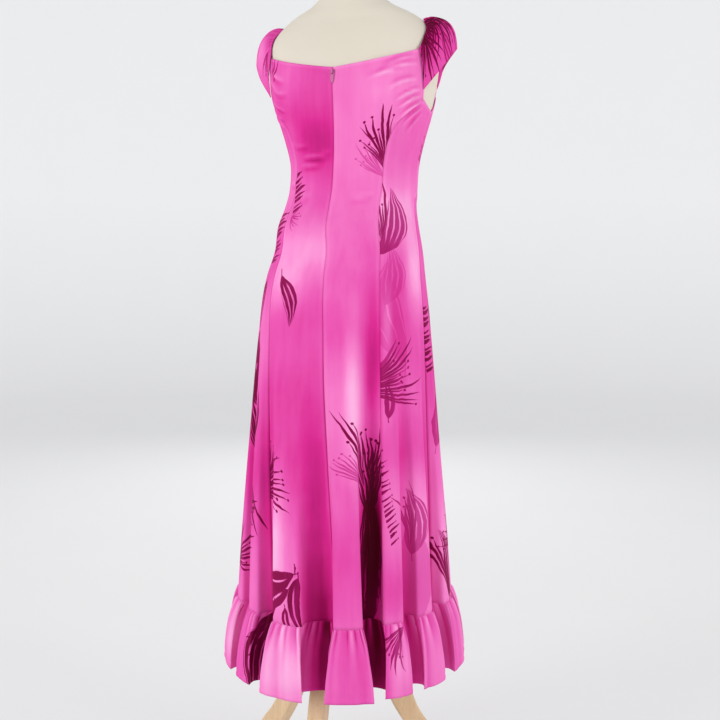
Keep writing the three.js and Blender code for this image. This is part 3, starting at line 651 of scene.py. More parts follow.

# %% [markdown]
# ## The seven panels
#
# A panel is a long strip between two seams, from the ruffle to its own top edge. It could be one tube cut
# by drawn lines, but real panels are turned in where they are sewn, and that small dip, with a painted
# highlight beside it, is what shows a seam on velour. So each panel is its own skin, tucked in at both long
# edges, and its map is measured along the cloth, folds included.

# %% The panels' tables
UNDERARM_Z, ARMHOLE_Z, FRONT_ARMHOLE_Z = 1295.0, 1314.0, 1328.0
BACK_NECK_Z, BACK_CORNER_Z, FRONT_NECK_Z, FRONT_CORNER_Z = 1367.0, 1399.0, 1324.0, 1388.0

# name, then the top edge as (share of the width, height, columns before it, power of the rise to it)
PANELS = [
    ("centre_back_right", [(0, BACK_NECK_Z, 0, 1), (0.825, BACK_CORNER_Z, 60, 1.25), (1, ARMHOLE_Z, 16, 1)]),
    ("side_back_right", [(0, ARMHOLE_Z, 0, 1), (1, UNDERARM_Z, 60, 1)]),
    ("side_front_right", [(0, UNDERARM_Z, 0, 1), (1, FRONT_ARMHOLE_Z, 60, 1)]),
    (
        "centre_front",
        [
            (0, FRONT_ARMHOLE_Z, 0, 1),
            (0.08, FRONT_CORNER_Z, 8, 1),
            (0.5, FRONT_NECK_Z, 52, -1.25),
            (0.92, FRONT_CORNER_Z, 52, 1.25),
            (1, FRONT_ARMHOLE_Z, 8, 1),
        ],
    ),
    ("side_front_left", [(0, FRONT_ARMHOLE_Z, 0, 1), (1, UNDERARM_Z, 60, 1)]),
    ("side_back_left", [(0, UNDERARM_Z, 0, 1), (1, ARMHOLE_Z, 60, 1)]),
    ("centre_back_left", [(0, ARMHOLE_Z, 0, 1), (0.175, BACK_CORNER_Z, 16, 1), (1, BACK_NECK_Z, 60, -1.25)]),
]
CHEST_Z, LOW_ROWS, YOKE_ROWS = 1222.0, 110, 44
TOP_TURNED_IN = 12
# Painted light: paler on fold and crease ridges, darker in valleys and troughs, and a painted highlight along
# the top edge and beside each seam.
FOLD_PAINTED_LIGHT, CREASE_PAINTED_LIGHT, TOP_EDGE_PAINTED_HIGHLIGHT, SEAM_PAINTED_HIGHLIGHT = 0.011, 0.032, 0.1, 0.04


def top_edge(top):
    """(shares, heights) along a top edge. A power p above 1 leaves the lower end level: low + rise · t to
    the p. A negative one arrives level at the lower end."""
    shares, heights = [np.zeros(1)], [np.array([top[0][1]])]
    for (from_share, low, _, _), (to_share, high, columns, power) in zip(top, top[1:]):
        t = np.arange(1, columns + 1) / columns
        rise = t**power if power > 0 else 1 - (1 - t) ** -power
        shares.append(from_share + (to_share - from_share) * t)
        heights.append(low + (high - low) * rise)
    return np.concatenate(shares), np.concatenate(heights)


def seam_tuck(mm_from_seam, z):
    """How far the cloth is turned in beside a seam: less where the form lies behind it than in the skirt."""
    depth = 1.0 + 1.1 * step(980 - z, 0, 160)
    return -depth * bell(mm_from_seam, 1.7) + 0.35 * bell(mm_from_seam - 4.5, 2.5)


def painted_fold_light(turn, z):
    """Painted light on the folds and creases: a painted highlight for each mm that a ridge stands out, and
    painted shade for each mm that a valley lies in; the same for each mm of a crease, with painted shade in
    the trough beside it."""
    return FOLD_PAINTED_LIGHT * fold(turn, z)[0] + CREASE_PAINTED_LIGHT * crease_out(turn_angle(turn, z), z, 1.0)


def panel_grid(number, top):
    """The panel's points, its map in mm (along the cloth from the panel's middle, and the height), and its
    painted light: painted shade and highlights on the folds and creases, and a painted highlight along the
    top edge and beside each seam. The top edge is turned in, which stands out a little."""
    shares, edge = top_edge(top)
    low = np.linspace(RUFFLE_SEAM_Z, CHEST_Z, LOW_ROWS)
    yoke = 1 - (1 - np.linspace(0, 1, YOKE_ROWS + 1)[1:, None]) ** 1.6
    z = np.vstack([np.repeat(low[:, None], len(shares), 1), CHEST_Z + (edge - CHEST_Z) * yoke])
    turn = number + shares[None, :]
    turn = np.clip(turn, number + 1e-6, number + 1 - 1e-6)
    plain = dress_point(turn, z)
    along = np.linalg.norm(np.diff(plain[..., :2], axis=1), axis=2)
    arc = np.concatenate([np.zeros((len(z), 1)), np.cumsum(along, 1)], 1)
    other = arc[:, -1:] - arc
    down = np.where(z > CHEST_Z, edge - z, 99)
    out = seam_tuck(arc, z) + seam_tuck(other, z)
    out = out + 0.45 * step(TOP_TURNED_IN - down, 0, 6) - 0.8 * bell(down, 0.8)
    # A painted highlight 4.5 mm in from each seam, added to the painted light of the folds and creases and to
    # a painted highlight along the top edge.
    beside = bell(arc - 4.5, 2.4) + bell(other - 4.5, 2.4)
    tone = painted_fold_light(turn, z) + TOP_EDGE_PAINTED_HIGHLIGHT * bell(down - 2.5, 2.5) + SEAM_PAINTED_HIGHLIGHT * beside
    middle = arc[:, arc.shape[1] // 2 : arc.shape[1] // 2 + 1]
    return dress_point(turn, z, out), np.stack([arc - middle, z], -1), tone


def dye_cloud(share, z, base, clouds):
    """The base tone, drawn towards each cloud's tone by e to the minus third power of the share of the
    width, and by a bell in height."""
    tone = np.full(np.broadcast(share, z).shape, float(base))
    for centre, height, wide, tall, value in clouds:
        weight = np.exp(-np.abs((share - centre) / wide) ** 3) * bell(z - height, tall)
        tone += (value - tone) * weight
    return tone


print("rows of a panel:", LOW_ROWS + YOKE_ROWS)

# %% [markdown]
# ## Dye and print of each piece
#
# The panels were cut from different places of one dyed cloth, so tones and motifs break off at the seams.
# The dye is a base tone and a few clouds. Some clouds lie along the deep folds instead: darker ones in
# the valleys are painted shade, and a pale one on a ridge is a painted highlight. The print's motifs stand
# far apart, mostly down the sides and in the deep fold.

# %% Tables of the dye and the print
# clouds: share of the width, height, how wide, how tall, tone from 0 (deep) to 1 (pale)
# motifs: kind, (x, y), direction, size, spread, curl, rays, seed, darkness
PANEL_LOOKS = {
    "centre_back_right": {
        "base": 0.72,
        "clouds": [
            (0.6, 1330, 0.4, 40, 0.8),
            (0.4, 1010, 0.5, 60, 0.62),
            (0.35, 900, 0.6, 60, 0.54),
            # darker down the deep valley: painted shade
            (0.92, 880, 0.2, 120, 0.34),
            # paler on the broad ridge: painted highlight
            (0.52, 770, 0.16, 120, 1.0),
            (0.25, 500, 0.4, 150, 0.38),
            # darker low in the deep valley: painted shade
            (0.87, 545, 0.2, 115, 0.12),
        ],
        "motifs": [
            ("flower", 46, 1188, -9, 126, 18, 0.25, 6, 3, 0.96),
            ("flower", 50, 1184, -30, 104, 14, 0.3, 5, 9, 0.9),
            ("flower", 48, 1176, -54, 86, 20, -0.2, 8, 9, 0.42),
            ("flower", 24, 636, -13, 156, 12, 0.2, 5, 5, 0.96),
            ("flower", 34, 628, 10, 138, 20, 0.1, 8, 17, 1.0),
            ("flower", 44, 600, 4, 150, 18, 0.1, 7, 19, 1.0),
            ("flower", 40, 574, -4, 120, 24, 0.1, 6, 20, 1.0),
            ("flower", 18, 640, -44, 96, 20, 0.2, 7, 13, 0.5),
            ("flower", 38, 645, 180, 190, 14, 0.1, 7, 15, 1.0),
            ("flower", 56, 520, 178, 120, 16, 0.1, 5, 18, 0.9),
            ("leaf", 46, 372, 0, 240, 0.24, 0.0, 2, 0.4, 0.9),
        ],
    },
    "side_back_right": {
        "base": 0.64,
        "clouds": [
            (0.4, 1110, 0.7, 60, 0.95),
            (0.5, 910, 0.8, 120, 0.5),
            (0.78, 1010, 0.25, 90, 0.95),
            (0.12, 920, 0.08, 60, 0.8),
            (0.5, 700, 0.6, 70, 0.48),
            (0.62, 580, 0.3, 60, 0.8),
            (0.13, 450, 0.13, 60, 0.4),
        ],
        "motifs": [
            ("leaf", -50, 1040, 10, 122, 0.42, 0.45, 4, 0.9, 0.74),
            ("flower", -46, 1062, 4, 112, 16, 0.3, 5, 2, 0.85),
            ("leaf", -44, 950, 6, 112, 0.42, 0.3, 4, 0.8, 0.34),
            ("leaf", -8, 848, -4, 200, 0.34, -0.3, 3, 0.5, 0.26),
            ("flower", -96, 806, 82, 138, 34, 0.2, 13, 4, 0.82),
            ("flower", -92, 812, 70, 122, 26, 0.2, 7, 14, 0.66),
            ("leaf", -50, 754, 2, 66, 0.34, 0.2, 2, 0.2, 0.74),
            ("comb", -79, 625, 84, 28, 3.2, 0.12, 19, 8, 0.92),
            ("leaf", -8, 512, -3, 118, 0.5, 0.35, 4, 0.9, 0.62),
            ("flower", -8, 522, 0, 124, 17, 0.3, 6, 7, 0.7),
            ("leaf", -8, 380, 0, 200, 0.42, 0.1, 1, 0, 0.3),
        ],
    },
    "side_front_right": {
        "base": 0.6,
        "clouds": [(0.3, 1180, 0.7, 60, 0.8), (0.5, 820, 0.6, 90, 0.4), (0.4, 520, 0.6, 110, 0.75)],
        "motifs": [
            ("comb", -66, 885, 90, 36, 1.7, 0.1, 12, 5, 0.92),
            ("leaf", 0, 1140, 170, 90, 0.36, 0.3, 3, 0.1, 0.7),
            ("leaf", -62, 690, 14, 120, 0.5, 0.3, 4, 0.2, 0.6),
            ("leaf", -64, 408, -8, 134, 0.36, 0.3, 4, 0.5, 0.94),
            ("flower", -68, 412, -6, 150, 14, 0.2, 5, 6, 0.96),
            ("flower", 30, 470, -24, 150, 40, 0.3, 13, 16, 0.9),
            ("leaf", 20, 980, 190, 120, 0.4, 0.3, 3, 0.4, 0.85),
            ("flower", 22, 990, 214, 110, 26, 0.2, 8, 22, 0.8),
            ("flower", -20, 1190, -10, 100, 34, 0.2, 9, 24, 0.6),
            ("leaf", 30, 700, -30, 150, 0.42, 0.3, 3, 0.7, 0.2),
        ],
    },
    "centre_front": {
        "base": 0.62,
        "clouds": [
            (0.3, 1260, 0.2, 70, 0.85),
            (0.72, 1180, 0.2, 90, 0.4),
            (0.5, 1000, 0.25, 90, 0.85),
            (0.2, 820, 0.15, 150, 0.35),
            (0.6, 700, 0.12, 160, 0.3),
            (0.8, 520, 0.15, 120, 0.8),
            (0.42, 520, 0.05, 140, 0.15),
        ],
        "motifs": [
            ("flower", -92, 1120, 24, 120, 40, 0.25, 12, 21, 0.9),
            ("leaf", 70, 1210, 200, 100, 0.4, 0.3, 4, 0.3, 0.85),
            ("flower", 130, 880, -30, 140, 36, -0.3, 13, 23, 0.92),
            ("leaf", -40, 980, 196, 120, 0.36, -0.3, 4, 0.6, 0.45),
            ("flower", -150, 620, 12, 150, 34, 0.3, 14, 25, 0.95),
            ("leaf", 60, 620, 176, 120, 0.4, 0.3, 2, 0.2, 0.92),
            ("leaf", 84, 628, 222, 96, 0.42, 0.3, 2, 0.1, 0.9),
            ("flower", 210, 500, -20, 130, 50, 0.2, 15, 27, 0.7),
            ("leaf", -60, 470, 10, 130, 0.4, 0.3, 5, 0.3, 0.6),
            ("leaf", 126, 872, 22, 120, 0.36, 0.3, 4, 0.5, 0.9),
            ("leaf", 120, 884, -74, 100, 0.4, 0.3, 3, 0.8, 0.8),
            ("leaf", -146, 616, -36, 130, 0.36, 0.3, 4, 0.4, 0.94),
            ("flower", -150, 600, 168, 130, 30, 0.2, 9, 29, 0.94),
            ("flower", 66, 636, -14, 120, 30, 0.2, 9, 28, 0.9),
            ("leaf", -96, 1112, -26, 100, 0.36, 0.3, 3, 0.5, 0.88),
            ("leaf", 0, 800, 18, 170, 0.46, 0.3, 3, 0.7, 0.2),
            ("comb", -120, 880, 84, 40, 1.8, 0.1, 13, 26, 0.9),
            ("flower", 212, 496, 24, 150, 20, 0.2, 6, 30, 0.92),
        ],
    },
    "side_front_left": {
        "base": 0.6,
        "clouds": [(0.5, 1160, 0.7, 80, 0.8), (0.5, 880, 0.6, 110, 0.38), (0.5, 560, 0.6, 90, 0.75)],
        "motifs": [
            ("flower", 30, 1110, -30, 100, 40, -0.2, 11, 31, 0.85),
            ("leaf", -20, 930, 190, 120, 0.38, 0.3, 4, 0.5, 0.88),
            ("flower", 10, 640, -20, 150, 40, 0.3, 15, 33, 0.94),
            ("leaf", 30, 430, -14, 110, 0.42, 0.3, 3, 0.2, 0.8),
            ("flower", -22, 944, 150, 120, 26, 0.2, 8, 34, 0.85),
            ("leaf", 6, 646, 26, 110, 0.4, 0.3, 3, 0.4, 0.94),
            ("comb", -60, 780, 90, 40, 1.6, 0.1, 11, 35, 0.9),
            ("leaf", 0, 780, -20, 150, 0.44, 0.3, 3, 0.6, 0.2),
        ],
    },
    "side_back_left": {
        "base": 0.55,
        "clouds": [(0.5, 1140, 0.7, 60, 0.75), (0.5, 900, 0.7, 90, 0.7), (0.5, 650, 0.7, 110, 0.35)],
        "motifs": [
            ("comb", 8, 1066, 90, 40, 1.2, 0.2, 10, 4, 0.9),
            ("leaf", 16, 990, 186, 90, 0.5, 0.3, 4, 0.4, 0.8),
            ("leaf", 0, 880, 172, 130, 0.42, 0.3, 3, 0.1, 0.92),
            ("leaf", -10, 760, 16, 120, 0.44, -0.3, 3, 0.3, 0.94),
            ("flower", 20, 660, -6, 150, 26, 0.2, 9, 43, 0.96),
            ("flower", 30, 640, 178, 120, 24, 0.2, 8, 47, 0.9),
            ("comb", 16, 545, 90, 50, 0.9, 0.2, 9, 6, 0.92),
            ("flower", -50, 470, 62, 90, 46, 0.1, 12, 45, 0.9),
            ("flower", 4, 760, -24, 110, 24, 0.2, 7, 44, 0.94),
            ("flower", 6, 900, 196, 110, 20, 0.2, 6, 46, 0.9),
        ],
    },
    "centre_back_left": {
        "base": 0.5,
        "clouds": [
            (0.25, 1350, 0.4, 50, 0.62),
            (0.7, 1240, 0.6, 62, 0.28),
            (0.3, 1150, 0.5, 36, 0.62),
            (0.5, 1046, 1.0, 70, 0.84),
            (0.3, 1000, 0.4, 60, 0.92),
            (0.5, 880, 0.9, 70, 0.56),
            (0.66, 720, 0.45, 130, 0.42),
            (0.2, 530, 0.24, 110, 0.9),
        ],
        "motifs": [
            ("comb", -38, 1146, 76, 32, 1.1, 0.2, 8, 3, 0.88),
            ("flower", -32, 1108, 110, 36, 60, 0.1, 7, 8, 0.6),
            ("leaf", -32, 1002, 162, 98, 0.36, -0.3, 3, 0.5, 0.95),
            ("flower", -116, 612, 72, 138, 30, -0.2, 10, 53, 0.95),
            ("flower", -84, 640, 44, 84, 20, 0.25, 5, 55, 0.85),
            ("leaf", 0, 490, 260, 84, 0.42, -0.25, 2, 0.1, 0.94),
            ("leaf", -12, 462, 222, 72, 0.44, 0.3, 2, 0.1, 0.92),
            ("leaf", 8, 484, 176, 100, 0.28, 0.3, 2, 0.1, 0.94),
            ("leaf", -44, 438, 200, 50, 0.5, 0.2, 2, 0.1, 0.9),
            ("leaf", -22, 432, 164, 50, 0.36, 0.2, 2, 0.1, 0.9),
            ("leaf", 2, 506, 180, 24, 0.22, 0.0, 1, 0, 0.94),
            ("flower", -42, 1352, 14, 60, 22, 0.1, 3, 56, 0.7),
        ],
    },
}
print("motifs on the panels:", sum(len(look["motifs"]) for look in PANEL_LOOKS.values()))

# %% Make the panels
for number, (name, top) in enumerate(PANELS):
    grid, cloth, pile_bump_and_painted_shade = panel_grid(number, top)
    look = PANEL_LOOKS[name]
    width = np.ptp(cloth[..., 0], axis=1)
    shares = (cloth[..., 0] - cloth[:, :1, 0]) / width[:, None]
    # The dye's clouds plus the painted shade and highlights of the folds, creases, top edge and seams.
    tone = dye_cloud(shares, grid[..., 2], look["base"], look["clouds"]) + pile_bump_and_painted_shade
    dress_cloth(name, grid, cloth, tone, look["motifs"])
    length = np.linalg.norm(np.diff(grid, axis=0), axis=2).sum(0).max()
    size = np.round(np.array([width.max(), length]) / 1000, 3)
    print(name, "widest and longest, m:", size, "cloth, m²:", cloth_area(grid))

# %% [markdown]
# ## The ruffle
#
# The ruffle is a strip about one and a half times as long as the skirt's edge, gathered into the seam. At
# the seam the fullness stands in small sharp gathers, a few on each fold. Further down they melt into the
# skirt's own folds, and the hem is turned up narrowly. So a row of gathers is added whose depth fades
# downwards.

# %% The ruffle's surface
# from the seam (0) to the hem (1): flare, how much deeper than the skirt's the folds are, depth of the
# gathers
RUFFLE_ROWS = np.array([
    [0, -0.8, 1, 2.4],
    [0.03, 1.8, 1.01, 5.6],
    [0.1, 5.2, 1.05, 5.8],
    [0.25, 11, 1.14, 3.2],
    [0.42, 15.4, 1.19, 1.5],
    [0.7, 19.2, 1.26, 0.8],
    [1, 21, 1.3, 0.6],
])
GATHERS = [17, 17, 19, 48, 19, 19, 17]
COLUMNS_A_GATHER, RUFFLE_HEIGHTS = 8, 46


def gather_wave(turn, share=1.0):
    """Narrow troughs of uneven depth and spacing between soft ridges: |sin| to a power, with the phase
    swayed by two slow sines and the depth by a third. A share below 1 spaces them wider."""
    counts = share * np.interp(turn % 7, np.arange(8), np.concatenate([[0], np.cumsum(GATHERS)]))
    phase = np.pi * (counts + 0.22 * np.sin(counts * 1.9) + 0.12 * np.sin(counts * 4.3 + 1))
    depth = 0.72 + 0.28 * np.sin(counts * 2.6 + 0.5)
    return depth * (np.abs(np.sin(phase)) ** 0.8)


def ruffle_grid(first, last):
    """The ruffle from turn first to turn last, hem row first, its map in mm of flat cloth, and its painted
    light: painted shade in the valleys of the folds and the troughs of the gathers, and a painted highlight
    on their ridges. Its ridges broaden towards the hem."""
    count = int(round(sum(GATHERS[k % 7] for k in range(first, last)) * COLUMNS_A_GATHER))
    turn = np.linspace(first + 1e-4, last - 1e-4, count + 1)[None, :]
    down = (np.linspace(1, 0, RUFFLE_HEIGHTS) ** 1.3)[:, None]
    flare, deeper, depth = (curve(RUFFLE_ROWS[:, 0], RUFFLE_ROWS[:, k], down) for k in (1, 2, 3))
    z = RUFFLE_SEAM_Z + 1.0 + (HEM_Z - RUFFLE_SEAM_Z - 1.0) * down
    around = turn % 7
    outwards, sideways = fold(around, RUFFLE_SEAM_Z, VALLEY_SHARPNESS + 0.9 * down)
    angle = turn_angle(around, RUFFLE_SEAM_Z)
    wave, flute = gather_wave(turn), (gather_wave(turn, 0.37) - 0.6) * 3.0 * step(down, 0.1, 0.5)
    hem = -0.8 * bell(down - 0.905, 0.02) - 1.0 * step(down, 0.992, 1.0)
    out = flare + deeper * outwards + depth * (wave - 0.45) + flute + hem
    swayed = angle + deeper**3 * sideways / 3.3
    point = ring_point(SKIRT_RINGS, swayed, np.full(z.shape, RUFFLE_SEAM_Z), out)
    point[..., 2] = z - back_dip(angle, z) + 1.2 * wave * (1 - down) * step(down, 0, 0.03)
    lowest = np.linalg.norm(np.diff(point[0], axis=0), axis=1)
    along = np.concatenate([[0], np.cumsum(lowest)])
    flat = np.stack(np.broadcast_arrays(along[None, :] - along[-1] / 2, z), -1)
    # Painted light: darker in the folds' valleys and in the troughs of the gathers and flutes, paler on their
    # ridges.
    tone = 0.008 * outwards + 0.085 * depth * (wave - 0.56) + 0.05 * flute
    return point, flat, tone


print("gathers all round:", sum(GATHERS))

# %% Make the ruffle
RUFFLE_LOOKS = {
    "ruffle_back": {
        "turns": (5, 9),
        "base": 0.55,
        "clouds": [
            (0.12, 340, 0.06, 60, 0.85),
            (0.38, 330, 0.07, 70, 0.82),
            # a narrow dark cloud down a deep valley: painted shade
            (0.485, 360, 0.03, 90, 0.4),
            (0.62, 340, 0.05, 90, 0.5),
            # a narrow dark cloud down a deep valley: painted shade
            (0.725, 350, 0.03, 120, 0.25),
            (0.8, 330, 0.04, 50, 0.7),
            (0.95, 330, 0.05, 80, 0.72),
        ],
        "motifs": [
            ("leaf", -284, 410, 190, 190, 0.62, 0.2, 7, 0.6, 0.96),
            ("leaf", -296, 408, 166, 104, 0.5, -0.2, 4, 0.3, 0.96),
            ("flower", -290, 410, 212, 112, 22, -0.2, 5, 62, 0.95),
            ("flower", 380, 396, 238, 96, 26, 0.5, 7, 65, 0.8),
            ("flower", 372, 388, 216, 70, 22, 0.5, 5, 63, 0.75),
        ],
    },
    "ruffle_front": {
        "turns": (2, 5),
        "base": 0.55,
        "clouds": [
            (0.12, 330, 0.07, 70, 0.8),
            (0.4, 340, 0.07, 80, 0.3),
            (0.65, 330, 0.08, 70, 0.85),
            (0.9, 340, 0.05, 80, 0.35),
        ],
        "motifs": [
            ("flower", -450, 404, 170, 124, 40, 0.25, 11, 71, 0.95),
            ("leaf", 136, 300, 20, 96, 0.4, 0.3, 3, 0.4, 0.9),
            ("leaf", 170, 300, 52, 84, 0.38, 0.3, 3, 0.1, 0.85),
            ("flower", -136, 406, 160, 120, 34, 0.2, 9, 74, 0.92),
            ("flower", 540, 402, 190, 110, 44, -0.3, 11, 73, 0.9),
        ],
    },
}
for name, look in RUFFLE_LOOKS.items():
    grid, cloth, pile_bump_and_painted_shade = ruffle_grid(*look["turns"])
    shares = (cloth[..., 0] - cloth[0, 0, 0]) / np.ptp(cloth[0, :, 0])
    # The dye's clouds plus the painted shade and highlights of the folds and gathers.
    tone = dye_cloud(shares, cloth[..., 1], look["base"], look["clouds"]) + pile_bump_and_painted_shade
    dress_cloth(name, grid, cloth, tone, look["motifs"])
    print(name, "along the hem, m:", round(np.ptp(cloth[..., 0]) / 1000, 3), "cloth, m²:", cloth_area(grid))

# %% [markdown]
# ## The cap sleeves
#
# A sleeve is a piece of cloth that joins the back of the armhole to the front over the shoulder. Elastic in
# its neck edge shirrs it tightly there, and it puffs out over the shoulder's point. Five ribs give its neck
# edge, its bulge and its hem. A curve runs through each of the three, and another from neck to hem at each
# place along them.

# %% The sleeves' surface
# along the sleeve, the neck edge as (angle, height) on the form, the bulge and the hem as (out, back, height)
SLEEVE_NECKS = [(59.1, 1399), (72, 1438), (92, 1459), (110, 1435), (118.5, 1388)]
SLEEVE_BULGES = [(176, 34, 1444), (190, -4, 1474), (168, -46, 1442)]
SLEEVE_HEMS = [(179, 25, 1372), (195, -6, 1405), (160, -50, 1380)]
SLEEVE_ENDS = [(0.98, 1329), (3.02, 1340)]
BODY_AXIS = np.array([TORSO_X, TORSO_Y, 0.0])
END_OUT, END_OVER = 1.5, 4.5
SLEEVE_COLUMNS, SLEEVE_ACROSS_ROWS, SLEEVE_GATHERS = 360, 48, 42


def through_points(points, along):
    """A centripetal Catmull-Rom curve: each piece between two points is a cubic whose slopes weigh the
    neighbours by the square root of their distances."""
    p = np.vstack([2 * points[0] - points[1], points, 2 * points[-1] - points[-2]])
    s = np.clip(along, 0, 1) * (len(points) - 1)
    i = np.minimum(s.astype(int), len(points) - 2)
    w = (s - i)[..., None]
    a, b, c, d = (p[i + k] for k in range(4))
    ab, bc, cd = (np.linalg.norm(y - x, axis=-1, keepdims=True) ** 0.5 for x, y in ((a, b), (b, c), (c, d)))
    leave = ((b - a) / ab - (c - a) / (ab + bc) + (c - b) / bc) * bc
    arrive = ((c - b) / bc - (d - b) / (bc + cd) + (d - c) / cd) * bc
    return b + leave * w + (3 * (c - b) - 2 * leave - arrive) * w**2 + (2 * (b - c) + leave + arrive) * w**3


def sleeve_ribs():
    """The neck, bulge and hem points of the five ribs. The two end ribs follow the armhole's edge, moved
    END_OUT outwards and END_OVER on to the cloth. The bulge point of such a rib is 2 · middle - (neck +
    hem) / 2, so that the curve meets its middle."""
    necks = np.array([ring_point(FORM_RINGS, a, float(z), FORM_TO_FACE) for a, z in SLEEVE_NECKS])
    place = lambda rows: np.array([[-out, back, z] for out, back, z in rows], float) + BODY_AXIS
    bulges, hems = place(SLEEVE_BULGES), place(SLEEVE_HEMS)
    ends = []
    for k, (turn, z) in enumerate(SLEEVE_ENDS):
        neck = np.array(SLEEVE_NECKS[-k], float)
        hem = np.array([turn_angle(turn, float(z)), z], float)
        points = []
        for angle, height in (neck, (neck + hem) / 2, hem):
            point = ring_point(DRESS_RINGS, angle, height, cup_out(angle, height))
            outward = unit((point - BODY_AXIS) * [1, 1, 0])
            beside = np.array([-outward[1], outward[0], 0]) * (1 if k == 0 else -1)
            points.append(point + END_OUT * outward - END_OVER * beside)
        ends.append((points[0], 2 * points[1] - (points[0] + points[2]) / 2, points[2]))
    necks[0], necks[-1] = ends[0][0], ends[1][0]
    bulges = np.vstack([ends[0][1], bulges, ends[1][1]])
    hems = np.vstack([ends[0][2], hems, ends[1][2]])
    return necks, bulges, hems


def sleeve_plain(along, across):
    """A quadratic curve from the neck edge over the bulge to the hem: (1-t)² neck + 2t(1-t) bulge + t²
    hem."""
    neck, bulge, hem = (through_points(edge, along) for edge in sleeve_ribs())
    t = across[..., None]
    return (1 - t) ** 2 * neck + 2 * t * (1 - t) * bulge + t * t * hem


def sleeve_grid(mirrored):
    """The right sleeve, hem row first, or its mirror image on the left. Gathers stand out of the plain
    surface: sharp in the casing, then fading over the puff."""
    along = np.linspace(0, 1, SLEEVE_COLUMNS + 1)[None, :].repeat(SLEEVE_ACROSS_ROWS, 0)
    across = (np.linspace(1, 0, SLEEVE_ACROSS_ROWS) ** 1.25)[:, None].repeat(SLEEVE_COLUMNS + 1, 1)
    plain = sleeve_plain(along, across)
    down, forward = np.gradient(plain, axis=0), np.gradient(plain, axis=1)
    normal = unit(np.cross(forward, down))
    count = along * SLEEVE_GATHERS
    phase = np.pi * (count + 0.2 * np.sin(count * 1.7) + 0.15 * np.sin(count * 3.9))
    wave = np.abs(np.sin(phase)) ** 0.8 * (0.75 + 0.25 * np.sin(count * 2.3))
    ends = np.sin(np.pi * along) ** 0.4
    fade = 0.55 + 0.45 * step(across, 0.0, 0.08)
    casing = fade * (1 - step(across, 0.1, 0.55)) * 2.4 * ends
    slow = 1.6 * np.sin(along * 21 + across * 4) * np.sin(np.pi * across) * ends
    lift = casing * wave - 0.7 * bell(across - 0.085, 0.02) * ends + slow + 0.3
    grid = plain + normal * lift[..., None]
    width = np.linalg.norm(np.diff(plain, axis=0), axis=2).sum(0).mean()
    length = np.linalg.norm(np.diff(plain, axis=1), axis=2).sum(1).max() * 1.25
    flat = np.stack([(along - 0.5) * length, (1 - across) * width], -1)
    # Painted light: painted shade in the troughs of the casing's gathers and a painted highlight on their
    # crests.
    tone = 0.16 * casing * (wave - 0.7)
    if mirrored:
        grid = grid[:, ::-1] * [-1, 1, 1] + [2 * TORSO_X, 0, 0]
        flat = flat[:, ::-1] * [-1, 1]
        tone = tone[:, ::-1]
    return grid, flat, along, tone


print("ribs:", len(sleeve_ribs()[0]))

# %% Make the sleeves
SLEEVE_LOOKS = {
    "sleeve_right": {
        "base": 0.42,
        "clouds": [(0.25, 4, 0.3, 26, 0.54), (0.3, 66, 0.3, 24, 0.28)],
        "motifs": [
            ("flower", -112, 92, 196, 112, 40, 0.25, 9, 81, 0.96),
            ("flower", -56, 92, 176, 104, 52, -0.3, 11, 82, 0.96),
            ("flower", -88, 84, 186, 70, 70, 0.2, 9, 86, 0.9),
            ("leaf", -60, 40, 150, 66, 0.5, 0.3, 4, 0.4, 0.6),
            ("flower", 30, 92, 184, 108, 54, 0.3, 11, 84, 0.94),
            ("leaf", 104, 84, 200, 96, 0.44, 0.3, 3, 0.5, 0.9),
        ],
    },
    "sleeve_left": {
        "base": 0.52,
        "clouds": [(0.6, 30, 0.3, 30, 0.75)],
        "motifs": [
            ("flower", 0, 60, 10, 60, 40, 0.2, 9, 83, 0.9),
            ("flower", 110, 64, 160, 56, 40, 0.2, 9, 85, 0.85),
            ("leaf", -110, 10, 0, 90, 0.45, 0.3, 3, 0.6, 0.4),
            ("leaf", 20, 6, 20, 80, 0.4, 0.3, 3, 0.6, 0.22),
        ],
    },
}
for name, look in SLEEVE_LOOKS.items():
    grid, cloth, along, pile_bump_and_painted_shade = sleeve_grid(name == "sleeve_left")
    # The dye's clouds plus the painted shade and highlights of the gathers.
    tone = dye_cloud(along, cloth[..., 1], look["base"], look["clouds"]) + pile_bump_and_painted_shade
    dress_cloth(name, grid, cloth, tone, look["motifs"])
    size = np.round(np.ptp(cloth.reshape(-1, 2), axis=0) / 1000, 3)
    print(name, "flat, m:", size, "cloth, m²:", cloth_area(grid))

# %% [markdown]
# ## The dress form
#
# A padded torso covered in plain linen, lofted through its rings. Both ends are closed by drawing the last
# ring into its middle. A turned wooden cap closes the neck.

# %% Lofts and turned pieces
def closed_ends(rings):
    """Adds a first and a last ring that are drawn into one point, so that the skin is closed."""
    low, high = rings[0].mean(0), rings[-1].mean(0)
    near = lambda ring, point: point + (ring - point) * 0.96
    first = [np.broadcast_to(low, rings[0].shape), near(rings[0], low)]
    last = [near(rings[-1], high), np.broadcast_to(high, rings[-1].shape)]
    return np.concatenate([first, rings, last])


def turned(profile, centre, columns=64):
    """A profile of (radius, height) swept round an upright axis: radius times sine and cosine of the
    angle."""
    profile = np.array(profile, float)
    angle = np.linspace(0, 2 * np.pi, columns, endpoint=False)[None, :]
    radius = profile[:, :1]
    x = centre[0] - radius * np.sin(angle)
    y = centre[1] + radius * np.cos(angle)
    return np.stack([x, y, profile[:, 1:2].repeat(columns, 1)], -1)


